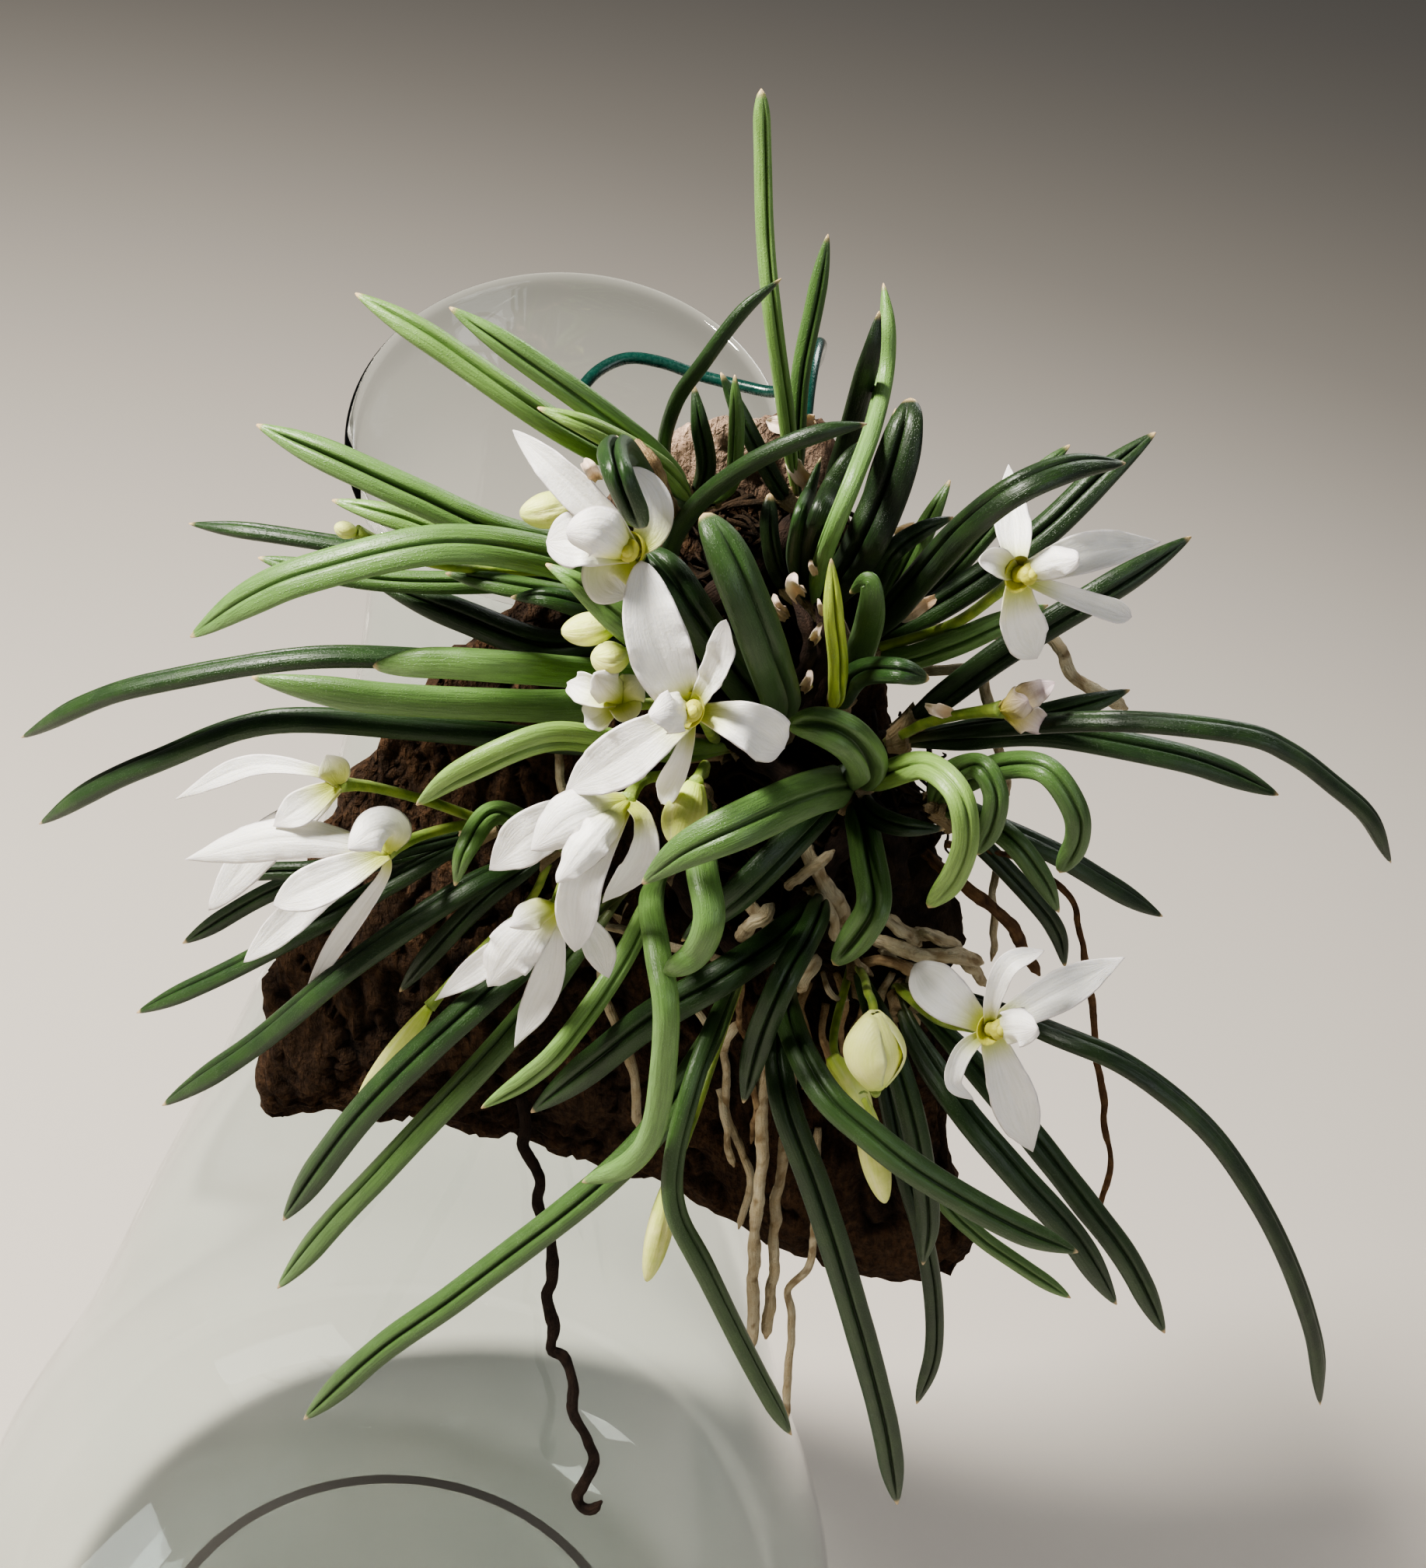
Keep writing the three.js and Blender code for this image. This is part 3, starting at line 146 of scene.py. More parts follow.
# %% Places
SHOOTS = {
    "shoot_top": {
        "knot": (1025, 655, 5),
        "tall": leaf(3.3, 0.62, 25, (979, 114, 4), (981, 200, 6), (984, 300, 9), (993, 400, 12),
            (1012, 540, 10), thick=0.8, blunt=0.8),
        "beside_tall": leaf(3.6, 0.42, -20, (1065, 301, 0), (1048, 390, 2), (1030, 480, 4), (1024, 570, 5)),
        "inner": leaf(3.4, 0.25, 0, (927, 479, 14), (965, 560, 15), (1003, 630, 11)),
    },
    "shoot_top_left": {
        "knot": (893, 650, 6),
        "dark_sickle": leaf(3.6, 0.18, 110, (1005, 358, 24), (955, 400, 26), (905, 465, 26), (868, 520, 22),
            (855, 590, 14)),
        "short_a": leaf(3.6, 0.2, 0, (892, 494, 16), (900, 545, 18), (908, 600, 13)),
        "short_b": leaf(3.3, 0.45, 40, (945, 482, 23), (947, 560, 22), (938, 625, 14)),
        "long_low": leaf(5.2, 0.62, 20, (457, 377, 28), (560, 440, 33), (705, 540, 34), (820, 605, 22)),
        "long_high": leaf(4.6, 0.6, -15, (578, 395, 37), (660, 450, 39), (765, 525, 36), (845, 590, 24)),
        "short_left": leaf(4.2, 0.66, 15, (691, 524, 44), (760, 550, 44), (845, 598, 32)),
        "thumb": leaf(4.8, 0.3, 88, (826, 679, 82), (808, 640, 86), (793, 603, 85), (788, 580, 74),
            (798, 574, 60), (818, 602, 48), (844, 645, 32), deep=1.0, gape=0.12, blunt=1.0, thick=0.7,
            away=right),
    },
    "shoot_left_high": {
        "knot": (868, 722, 6),
        "broad_pair": leaf(6, 0.55, 5, (330, 546, 30), (430, 590, 36), (540, 640, 38), (645, 685, 34),
            (770, 712, 18), deep=0.9),
        "under_pair": leaf(4.8, 0.62, 10, (427, 643, 22), (510, 665, 25), (605, 695, 24), (760, 720, 12)),
        "far": leaf(4.8, 0.25, 60, (243, 673, 12), (340, 685, 17), (475, 705, 19), (640, 722, 14)),
        "far_low": leaf(4.4, 0.45, 10, (332, 717, 8), (405, 733, 11), (520, 748, 12), (700, 745, 9)),
    },
    "shoot_left_mid": {
        "knot": (878, 790, 7),
        "arched": leaf(7, 0.52, 10, (245, 819, 44), (320, 770, 48), (403, 736, 50), (565, 700, 48),
            (705, 716, 38), (820, 760, 18), thick=0.45, deep=0.45, gape=0.08),
        "over_flower": leaf(3.6, 0.15, 120, (1115, 545, 46), (1060, 555, 49), (1005, 575, 49),
            (950, 605, 46), (895, 650, 38), (862, 710, 24), thick=0.8),
        "dark_low": leaf(6.2, 0.12, 0, (475, 745, 6), (590, 790, 9), (705, 830, 9), (800, 815, 8)),
        "lit_end": leaf(4.4, 0.4, 20, (573, 737, 20), (640, 750, 24), (720, 765, 22), (800, 782, 14)),
        "short_end": leaf(4.6, 0.3, 20, (657, 768, 32), (705, 768, 35), (770, 785, 30), (832, 797, 17)),
    },
    "shoot_left_low": {
        "knot": (908, 872, 7),
        "far_arched": leaf(6.2, 0.22, 70, (28, 948, 10), (110, 905, 18), (202, 877, 24), (403, 845, 28),
            (605, 852, 22), (790, 870, 10)),
        "bright_low": leaf(6.4, 0.5, 150, (324, 871, 38), (400, 885, 40), (484, 897, 40), (620, 905, 35),
            (760, 905, 22)),
        "bright_high": leaf(6, 0.58, 150, (480, 857, 48), (560, 852, 50), (660, 858, 47), (790, 868, 26),
            blunt=0.7),
        "by_bud": leaf(6, 0.6, 10, (702, 725, 56), (750, 755, 58), (815, 810, 53), (865, 850, 28),
            deep=0.5),
    },
    "shoot_left_bottom": {
        "knot": (945, 962, 7),
        "far_straight": leaf(6.6, 0.24, 60, (51, 1059, 6), (120, 1015, 12), (202, 978, 17), (353, 927, 21),
            (565, 938, 19), (790, 960, 10)),
        "bright_front": leaf(6.6, 0.66, -50, (536, 1035, 56), (600, 990, 58), (705, 948, 54),
            (806, 958, 42), (890, 965, 22), thick=0.55, deep=0.5, blunt=0.4),
    },
    "shoot_far_left": {
        "knot": (640, 1062, 5),
        "small": leaf(3.6, 0.2, 0, (281, 1124, 16), (350, 1120, 20), (423, 1115, 20), (545, 1085, 11)),
        "lower": leaf(4, 0.12, 0, (235, 1213, 4), (343, 1149, 9), (430, 1120, 10), (540, 1095, 8)),
        "lowest": leaf(5, 0.25, 40, (176, 1302, 8), (290, 1250, 14), (403, 1190, 18), (530, 1120, 13)),
    },
    "shoot_low_left": {
        "knot": (722, 1085, 6),
        "long": leaf(6.2, 0.22, 50, (209, 1421, 20), (330, 1340, 27), (454, 1240, 31), (605, 1139, 26)),
        "stub": leaf(4.6, 0.5, 0, (585, 1139, 38), (600, 1090, 38), (640, 1045, 24), blunt=0.3),
        "hidden": leaf(4.4, 0.2, 0, (514, 1275, 8), (560, 1220, 10), (630, 1150, 9)),
    },
    "shoot_low_mid": {
        "knot": (806, 1140, 7),
        "front": leaf(6.6, 0.3, 15, (364, 1569, 26), (420, 1490, 31), (484, 1411, 35), (590, 1310, 36),
            (706, 1210, 28)),
        "behind": leaf(6.4, 0.42, 40, (357, 1656, 10), (430, 1570, 16), (504, 1492, 20), (645, 1341, 21),
            (745, 1220, 14)),
    },
    "shoot_mid": {
        "knot": (862, 1105, 8),
        "bright": leaf(5, 0.62, -35, (619, 1425, 38), (680, 1385, 40), (726, 1341, 42), (800, 1235, 32),
            thick=0.5),
        "pale_thick": leaf(5, 0.56, 160, (749, 1520, 48), (810, 1495, 52), (843, 1440, 56), (857, 1310, 60),
            (845, 1220, 54), (838, 1155, 34), thick=0.75, blunt=0.5),
    },
    "shoot_centre_low": {
        "knot": (905, 1015, 9),
        "bent": leaf(6, 0.5, 160, (856, 1252, 58), (895, 1225, 62), (912, 1180, 64), (903, 1120, 56),
            (897, 1060, 34), thick=0.7, blunt=0.6),
    },
    "shoot_centre": {
        "knot": (1000, 935, 9),
        "broad": leaf(8.8, 0.34, 30, (905, 660, 60), (930, 700, 64), (960, 770, 66), (990, 850, 60),
            (1004, 900, 36), thick=0.55, deep=0.5, blunt=1.0),
        "beside": leaf(7.4, 0.26, 10, (826, 705, 52), (860, 740, 57), (900, 800, 57), (945, 865, 38),
            blunt=1.0, deep=0.9),
    },
    "shoot_heart": {
        "knot": (1100, 1012, 9),
        "notched": leaf(8.2, 0.45, -5, (826, 1136, 74), (880, 1095, 78), (958, 1058, 76), (1030, 1025, 60),
            (1075, 1012, 36), thick=0.42, deep=0.5, gape=0.07, bite=(0.72, 1, 2.3)),
        "under_notched": leaf(7.2, 0.28, -40, (877, 1210, 34), (950, 1150, 42), (1020, 1080, 36),
            (1070, 1030, 20), thick=0.5),
        "hook_low": leaf(5.4, 0.66, 20, (1194, 1167, 56), (1225, 1130, 60), (1242, 1079, 62),
            (1232, 1020, 60), (1190, 985, 50), (1135, 998, 28), thick=0.45, deep=0.5, gape=0.08, blunt=0.8),
        "curl_down": leaf(6.6, 0.42, 0, (1072, 1240, 46), (1105, 1200, 50), (1124, 1160, 50),
            (1116, 1100, 36), deep=1.0, gape=0.16, blunt=0.8),
        "arch": leaf(7.8, 0.46, 5, (1013, 932, 56), (1052, 932, 61), (1092, 950, 61), (1116, 984, 46),
            deep=1.0, gape=0.16, blunt=0.8),
        "level": leaf(4.4, 0.2, 0, (1215, 1066, 32), (1160, 1062, 34), (1120, 1045, 24)),
    },
    "shoot_low_centre": {
        "knot": (1062, 1140, 8),
        "long_left": leaf(6.8, 0.3, 10, (683, 1430, 30), (760, 1370, 35), (837, 1310, 38), (930, 1255, 38),
            (1008, 1200, 26)),
        "drooping": leaf(5.6, 0.28, -10, (956, 1418, 42), (975, 1340, 46), (1008, 1260, 46),
            (1045, 1190, 30), deep=0.9),
    },
    "shoot_bottom_left": {
        "knot": (965, 1222, 7),
        "long_diagonal": leaf(6.2, 0.38, 10, (391, 1825, 22), (490, 1735, 29), (605, 1653, 34),
            (806, 1492, 40), (900, 1360, 34), deep=0.7),
        "snake": leaf(5.2, 0.35, 50, (1018, 1845, 26), (965, 1750, 36), (907, 1633, 46), (870, 1560, 50),
            (867, 1492, 50), (892, 1391, 46), (930, 1290, 30)),
    },
    "shoot_bottom": {
        "knot": (1018, 1240, 8),
        "long_down": leaf(6.2, 0.28, 0, (1154, 1934, 24), (1135, 1820, 32), (1089, 1653, 42),
            (1050, 1530, 45), (1008, 1411, 42), (1000, 1310, 26)),
        "over_right": leaf(6, 0.34, 10, (1386, 1610, 48), (1300, 1575, 55), (1190, 1512, 60),
            (1120, 1460, 60), (1058, 1401, 55), (1015, 1310, 36)),
    },
    "shoot_bottom_mid": {
        "knot": (1098, 1232, 6),
        "down_a": leaf(4.4, 0.2, 20, (1179, 1805, 8), (1200, 1740, 13), (1200, 1663, 18), (1185, 1580, 22),
            (1159, 1490, 22), (1125, 1330, 14)),
        "down_b": leaf(5.2, 0.3, 5, (1187, 1626, 30), (1193, 1560, 35), (1179, 1462, 38), (1150, 1360, 36),
            (1112, 1270, 18)),
        "small_right": leaf(3.8, 0.5, 0, (1377, 1669, 8), (1310, 1625, 13), (1255, 1585, 15),
            (1205, 1530, 14), (1145, 1400, 10)),
    },
    "shoot_bottom_right": {
        "knot": (1148, 1262, 7),
        "near_down": leaf(6.4, 0.26, 30, (1436, 1677, 26), (1380, 1590, 33), (1310, 1512, 36),
            (1240, 1430, 34), (1180, 1340, 20)),
        "next_down": leaf(5.8, 0.3, 10, (1498, 1714, 14), (1450, 1620, 20), (1391, 1542, 24),
            (1320, 1452, 26), (1235, 1350, 18)),
        "far_arc": leaf(5.8, 0.12, 60, (1698, 1806, 24), (1690, 1720, 31), (1653, 1613, 37),
            (1600, 1515, 41), (1542, 1441, 43), (1450, 1370, 43), (1361, 1331, 38), (1240, 1282, 20)),
    },
    "shoot_right": {
        "knot": (1140, 955, 8),
        "far_arc": leaf(5.4, 0.14, 60, (1789, 1109, 20), (1760, 1050, 27), (1714, 1008, 32),
            (1660, 968, 36), (1593, 942, 38), (1431, 927, 34), (1250, 938, 18)),
        "under_arc": leaf(5.6, 0.24, 20, (1644, 1022, 18), (1570, 990, 22), (1492, 968, 24),
            (1341, 942, 22), (1225, 950, 13)),
        "short": leaf(4.8, 0.3, 10, (1453, 887, 10), (1400, 905, 13), (1320, 925, 13), (1220, 945, 10)),
        "up_right": leaf(6.2, 0.14, -30, (1532, 690, 8), (1470, 730, 12), (1411, 766, 15), (1290, 840, 16),
            (1190, 915, 11), thick=0.5),
    },
    "shoot_right_high": {
        "knot": (1106, 836, 7),
        "long": leaf(6, 0.16, 20, (1486, 556, 6), (1420, 610, 10), (1341, 685, 13), (1230, 765, 12),
            deep=0.8),
        "bowed": leaf(6.2, 0.08, 40, (1447, 595, 42), (1380, 600, 50), (1310, 628, 55), (1250, 672, 50),
            (1190, 735, 32)),
        "back": leaf(4, 0.35, 0, (1376, 572, 0), (1345, 600, 2), (1290, 660, 4), (1200, 760, 6)),
        "stub": leaf(4.4, 0.42, 30, (1222, 617, 10), (1200, 660, 12), (1160, 740, 10)),
        "flat_stub": leaf(4, 0.25, -20, (1226, 665, 24), (1185, 682, 28), (1146, 712, 26), (1122, 762, 17)),
        "short_grey": leaf(5, 0.5, -30, (1348, 778, 20), (1290, 800, 24), (1225, 828, 24), (1158, 848, 15)),
    },
    "shoot_upper": {
        "knot": (1046, 790, 7),
        "pale_edge": leaf(3.4, 0.6, 70, (1136, 364, 8), (1141, 420, 12), (1138, 480, 15), (1122, 550, 26),
            (1096, 620, 38), (1068, 690, 36), (1052, 740, 22), thick=0.9),
        "front_edge": leaf(4.4, 0.04, 150, (1131, 400, 21), (1121, 450, 22), (1108, 500, 18),
            (1092, 560, 12), (1070, 640, 9), thick=0.5),
        "stout": leaf(8.2, 0.05, 25, (1171, 512, 22), (1164, 550, 27), (1146, 618, 30), (1119, 684, 28),
            (1088, 738, 17), blunt=0.9, thick=0.5, deep=0.9),
        "dark": leaf(5.6, 0.03, 150, (1112, 568, 22), (1088, 604, 26), (1062, 656, 25), (1046, 715, 18),
            blunt=0.8, thick=0.5),
        "mid_green": leaf(4.4, 0.3, 120, (1056, 588, 18), (1042, 630, 22), (1027, 675, 23), (1022, 730, 17),
            thick=0.5),
        "dark_left": leaf(3.6, 0.12, 20, (990, 634, 14), (990, 690, 17), (1004, 742, 15), blunt=0.9),
        "behind_stout": leaf(4.4, 0.2, 90, (1152, 525, 8), (1126, 610, 11), (1106, 680, 12),
            (1082, 745, 9)),
    },
    "shoot_crown": {
        "knot": (1070, 925, 10),
        "young": leaf(3.6, 0.95, 15, (1069, 718, 48), (1072, 790, 48), (1078, 850, 42), (1076, 895, 26),
            thick=0.75),
        "curled": leaf(5.4, 0.4, 160, (1093, 763, 38), (1118, 748, 42), (1120, 790, 40), (1102, 850, 25),
            thick=0.3, deep=0.3),
        "flat": leaf(5, 0.3, 10, (1195, 873, 48), (1150, 862, 50), (1100, 870, 32), blunt=0.8),
    },
    "shoot_right_low": {
        "knot": (1196, 1040, 9),
        "out_right": leaf(5.4, 0.16, 50, (1495, 1178, 8), (1430, 1140, 14), (1361, 1099, 18),
            (1270, 1058, 15)),
        "down_right": leaf(4.8, 0.4, 5, (1362, 1173, 28), (1340, 1130, 31), (1300, 1079, 31),
            (1245, 1045, 20)),
        "hidden_low": leaf(4, 0.18, 0, (1370, 1243, 2), (1360, 1200, 4), (1331, 1159, 7), (1260, 1085, 9)),
        "hook_far": leaf(5, 0.4, 10, (1363, 1122, 46), (1385, 1080, 50), (1381, 1038, 52), (1345, 990, 50),
            (1290, 985, 40), (1230, 1010, 22), blunt=0.9),
        "hook_near": leaf(4.8, 0.42, 0, (1255, 1099, 42), (1275, 1060, 46), (1280, 1018, 48),
            (1258, 985, 44), (1215, 1000, 24), blunt=0.7),
    },
}

FLOWERS = {
    "flower_front": {
        "centre": (892, 913, 66),
        "stalk": [(905, 925, 50), (915, 945, 30), (920, 950, 16)],
        "up": tepal(10.5, (824, 721, 62), (838, 800, 68), (862, 870, 69), peak=0.5, sharp=0.6, claw=0.45,
            cup=0.26),
        "up_right": tepal(5.2, (933, 797, 74), (925, 850, 73), peak=0.3, sharp=0.6, claw=0.4, cup=0.5,
            turn=25, ruffle=0.12),
        "right": tepal(9, (1008, 962, 66), (960, 932, 71), peak=0.28, sharp=0.42, claw=0.24, cup=0.22,
            ruffle=0.08),
        "down": tepal(4.8, (851, 1033, 60), (878, 975, 68), peak=0.25, sharp=0.7, claw=0.4, cup=0.6,
            turn=-25),
        "left": tepal(10, (728, 1017, 58), (790, 980, 65), (850, 940, 69), peak=0.52, sharp=0.85, claw=0.4,
            cup=0.28, ruffle=0.07),
        "lip": tepal(7, (836, 922, 80), (862, 915, 77), peak=0.4, sharp=0.55, cup=-0.5, ruffle=0.3),
    },
    "flower_upper_left": {
        "centre": (812, 712, 60),
        "stalk": [(836, 722, 48), (858, 740, 30), (872, 760, 15)],
        "long": tepal(6.2, (660, 553, 52), (715, 605, 58), (778, 668, 61), peak=0.5, sharp=0.8, claw=0.6,
            cup=0.45, turn=20),
        "left": tepal(9, (703, 697, 60), (755, 695, 63), peak=0.35, sharp=0.5, cup=0.15, ruffle=0.1),
        "fold": tepal(8.6, (728, 685, 68), (772, 684, 67), peak=0.42, sharp=0.5, cup=-0.55, claw=0.6),
        "right": tepal(7, (812, 600, 54), (835, 640, 57), (836, 682, 59), peak=0.5, sharp=0.6, cup=0.35,
            turn=-20),
        "down": tepal(9, (809, 769, 58), (782, 738, 60), peak=0.42, sharp=1.1, cup=0.12, claw=0.6),
    },
    "flower_right": {
        "centre": (1308, 740, 52),
        "stalk": [(1280, 765, 40), (1220, 805, 22), (1113, 838, 9)],
        "up": tepal(6.4, (1297, 598, 28), (1301, 665, 38), peak=0.55, cup=0.35),
        "far_right": tepal(7, (1492, 697, 42), (1400, 710, 50), peak=0.6, sharp=1.0, cup=0.35, claw=0.4),
        "low_right": tepal(4.2, (1455, 793, 46), (1385, 770, 52), peak=0.2, sharp=0.6, claw=0.5, cup=0.4),
        "down": tepal(8.2, (1333, 846, 44), (1312, 795, 51), peak=0.42, sharp=0.75, cup=0.25, claw=0.45),
        "left": tepal(5, (1259, 720, 58), (1283, 724, 56), peak=0.35, sharp=0.45, cup=0.55),
        "lip": tepal(5.4, (1388, 718, 62), (1350, 724, 59), peak=0.35, sharp=0.4, cup=-0.7, ruffle=0.2,
            claw=0.5),
    },
    "flower_low_right": {
        "centre": (1272, 1323, 58),
        "stalk": [(1245, 1320, 46), (1205, 1310, 30), (1152, 1268, 9)],
        "right": tepal(7.8, (1446, 1231, 48), (1360, 1275, 56), peak=0.5, sharp=1.05, claw=0.4, cup=0.25),
        "up": tepal(4.2, (1343, 1222, 60), (1298, 1240, 63), (1278, 1282, 62), peak=0.3, sharp=0.8,
            claw=0.45, cup=0.5, turn=20),
        "left": tepal(9, (1176, 1240, 50), (1215, 1280, 58), peak=0.35, sharp=0.6, claw=0.3, cup=0.2),
        "curl": tepal(3.8, (1252, 1414, 62), (1226, 1392, 64), (1238, 1352, 63), peak=0.6, sharp=0.8,
            cup=0.5),
        "down": tepal(9, (1328, 1480, 46), (1300, 1405, 56), peak=0.5, claw=0.45, cup=0.25),
        "lip": tepal(7, (1335, 1322, 70), (1304, 1322, 66), peak=0.35, sharp=0.5, cup=-0.45, ruffle=0.4,
            claw=0.5),
    },
    "flower_nodding_high": {
        "centre": (806, 1030, 56),
        "stalk": [(826, 1004, 46), (858, 998, 30), (890, 1008, 15)],
        "left": tepal(9.5, (630, 1118, 46), (700, 1065, 53), peak=0.42, sharp=0.9),
        "middle": tepal(9.5, (683, 1093, 64), (740, 1050, 63), sharp=0.85, cup=-0.3),
        "down": tepal(8, (739, 1223, 58), (750, 1130, 62), peak=0.4, sharp=0.7),
        "right": tepal(6, (775, 1160, 52), (822, 1105, 57), (826, 1055, 58), peak=0.5, sharp=0.9, cup=0.5,
            turn=30),
        "lip": tepal(7, (716, 1135, 70), (762, 1080, 67), cup=-0.5, ruffle=0.25, sharp=0.7),
    },
    "flower_nodding_low": {
        "centre": (717, 1165, 48),
        "stalk": [(730, 1120, 40), (740, 1102, 24), (724, 1090, 8)],
        "wide": tepal(10, (628, 1268, 42), (665, 1215, 47), sharp=0.9, cup=-0.2, ruffle=0.14),
        "far_left": tepal(5.5, (560, 1286, 34), (640, 1225, 42), peak=0.4, sharp=1.1),
        "down": tepal(6.5, (662, 1346, 38), (705, 1255, 44), sharp=1.0),
        "right": tepal(6, (783, 1257, 42), (763, 1205, 46), peak=0.4, sharp=0.9),
        "lip": tepal(6, (655, 1192, 54), (686, 1175, 52), cup=-0.5, ruffle=0.25),
    },
    "flower_far_left_low": {
        "centre": (498, 1095, 38),
        "stalk": [(540, 1075, 28), (590, 1062, 16), (620, 1062, 10)],
        "long": tepal(8, (239, 1105, 30), (370, 1078, 37), peak=0.5, sharp=1.0, cup=-0.3),
        "round": tepal(8.5, (448, 1092, 48), (482, 1068, 44), (505, 1070, 40), sharp=0.8, cup=-0.35),
        "middle": tepal(8.5, (352, 1164, 38), (430, 1128, 41), peak=0.4, sharp=0.8),
        "low": tepal(6.5, (314, 1237, 28), (400, 1160, 35), peak=0.4, sharp=0.8),
        "thin": tepal(4, (385, 1298, 26), (432, 1215, 31), (492, 1130, 36), peak=0.5, sharp=1.0),
    },
    "flower_far_left_high": {
        "centre": (436, 1008, 36),
        "stalk": [(480, 1012, 28), (550, 1030, 16), (612, 1052, 10)],
        "thin": tepal(4.2, (225, 1028, 24), (320, 985, 31), (400, 990, 35), sharp=1.1),
        "translucent": tepal(8, (269, 1170, 22), (335, 1090, 28), (400, 1040, 33), cup=0.1, sharp=0.7),
        "cream": tepal(6.5, (352, 1062, 36), (400, 1030, 37)),
        "tip": tepal(6, (420, 970, 36), (430, 990, 37)),
    },
    "flower_opening": {
        "centre": (800, 902, 54),
        "stalk": [(835, 905, 42), (870, 895, 26), (890, 888, 14)],
        "left": tepal(5.6, (730, 878, 50), (760, 888, 55), cup=0.6, ruffle=0.3, sharp=0.9),
        "low": tepal(5.6, (752, 930, 52), (775, 915, 55), cup=0.5, ruffle=0.25, sharp=0.9),
        "middle": tepal(6.2, (764, 866, 61), (782, 884, 59), cup=-0.5, ruffle=0.2, sharp=0.7),
        "right": tepal(6.2, (826, 872, 55), (812, 885, 56), cup=-0.4, ruffle=0.25, sharp=0.7),
        "low_right": tepal(5.6, (812, 928, 58), (806, 914, 57), cup=0.5, ruffle=0.3, sharp=0.8),
    },
    "flower_withered": {
        "centre": (1288, 912, 30),
        "stalk": [(1240, 918, 24), (1190, 930, 16), (1160, 945, 12)],
        "high": tepal(5.2, (1357, 877, 30), (1325, 893, 31), ruffle=0.5, cup=0.6, sharp=0.9),
        "low": tepal(6, (1343, 938, 28), (1318, 922, 30), ruffle=0.5, cup=-0.5, sharp=0.6),
        "near": tepal(6, (1322, 900, 36), (1306, 905, 34), ruffle=0.5, cup=-0.6, sharp=0.6),
    },
}

BUDS = {
    "bud_left": path(6, (669, 660, 44), (748, 645, 40), (800, 665, 34), (850, 690, 18), (866, 716, 8)),
    "bud_mid": path(5.6, (722, 812, 52), (796, 800, 50), (840, 815, 36), (868, 822, 18), (874, 805, 13)),
    "bud_round": path(5.6, (762, 845, 58), (806, 842, 54), (840, 850, 42), (875, 862, 22), (895, 866, 13)),
    "bud_hanging": path(7.4, (866, 1086, 66), (895, 1006, 60), (905, 985, 46), (908, 985, 24),
        (906, 996, 14)),
    "bud_cream": path(10, (1126, 1398, 62), (1124, 1302, 58), (1116, 1275, 46), (1112, 1258, 28),
        (1104, 1244, 12)),
    "bud_low": path(5.6, (1138, 1545, 46), (1108, 1410, 50), (1085, 1375, 42), (1072, 1335, 28),
        (1095, 1238, 8)),
    "bud_yellow": path(5.2, (832, 1646, 36), (866, 1506, 40), (895, 1430, 28), (925, 1340, 16),
        (962, 1232, 8)),
    "bud_behind": path(4.8, (460, 1420, 16), (552, 1295, 18), (610, 1230, 12), (680, 1160, 8),
        (705, 1110, 7)),
    "bud_tiny": path(3, (431, 676, 34), (458, 684, 32), (560, 725, 26), (700, 735, 14), (840, 735, 8)),
}

ROOTS = {
    "root_long_dark": path(2.6, (671, 1412, -1), (676, 1450, 3), (674, 1479, 4), (694, 1515, 5),
        (692, 1547, 5), (707, 1594, 6), (710, 1645, 6), (703, 1667, 7), (712, 1703, 7), (709, 1735, 8),
        (727, 1746, 8), (736, 1782, 9), (737, 1815, 9), (755, 1851, 10), (764, 1876, 10), (752, 1905, 11),
        (743, 1923, 11), (748, 1937, 11), (761, 1941, 12), (774, 1930, 12)),
    "root_pale_left": path(2.6, (990, 1330, 2), (983, 1400, 6), (979, 1489, 9), (972, 1579, 9),
        (969, 1650, 8), (967, 1736, 8)),
    "root_pale_mid": path(2.4, (1020, 1370, 2), (1011, 1471, 5), (997, 1561, 6), (994, 1650, 6),
        (985, 1721, 6)),
    "root_pale_right": path(1.8, (1052, 1450, 1.6), (1047, 1579, 4), (1040, 1629, 5), (1015, 1657, 6),
        (1019, 1704, 6), (1013, 1757, 7), (1013, 1825, 7)),
    "root_brown": path(2.4, (1188, 1096, 5), (1232, 1134, 14), (1261, 1156, 15), (1297, 1185, 13),
        (1312, 1214, 10), (1337, 1254, 8)),
    "root_thin": path(1.4, (1215, 1085, 9), (1300, 1100, 9), (1370, 1145, 9), (1388, 1189, 9),
        (1394, 1229, 9), (1404, 1283, 9), (1413, 1374, 9), (1421, 1418, 9), (1421, 1447, 9),
        (1428, 1498, 9), (1417, 1538, 9), (1415, 1556, 9)),
    "root_upper_far": path(2.6, (1104, 798, -1.5), (1240, 812, 3), (1336, 816, 4), (1361, 830, 4),
        (1374, 856, 4), (1392, 878, 4), (1424, 896, 4), (1450, 912, 4)),
    "root_upper_near": path(2.2, (1110, 862, -1.5), (1200, 862, 4), (1257, 863, 6), (1272, 903, 6),
        (1283, 965, 6), (1297, 1023, 6)),
}

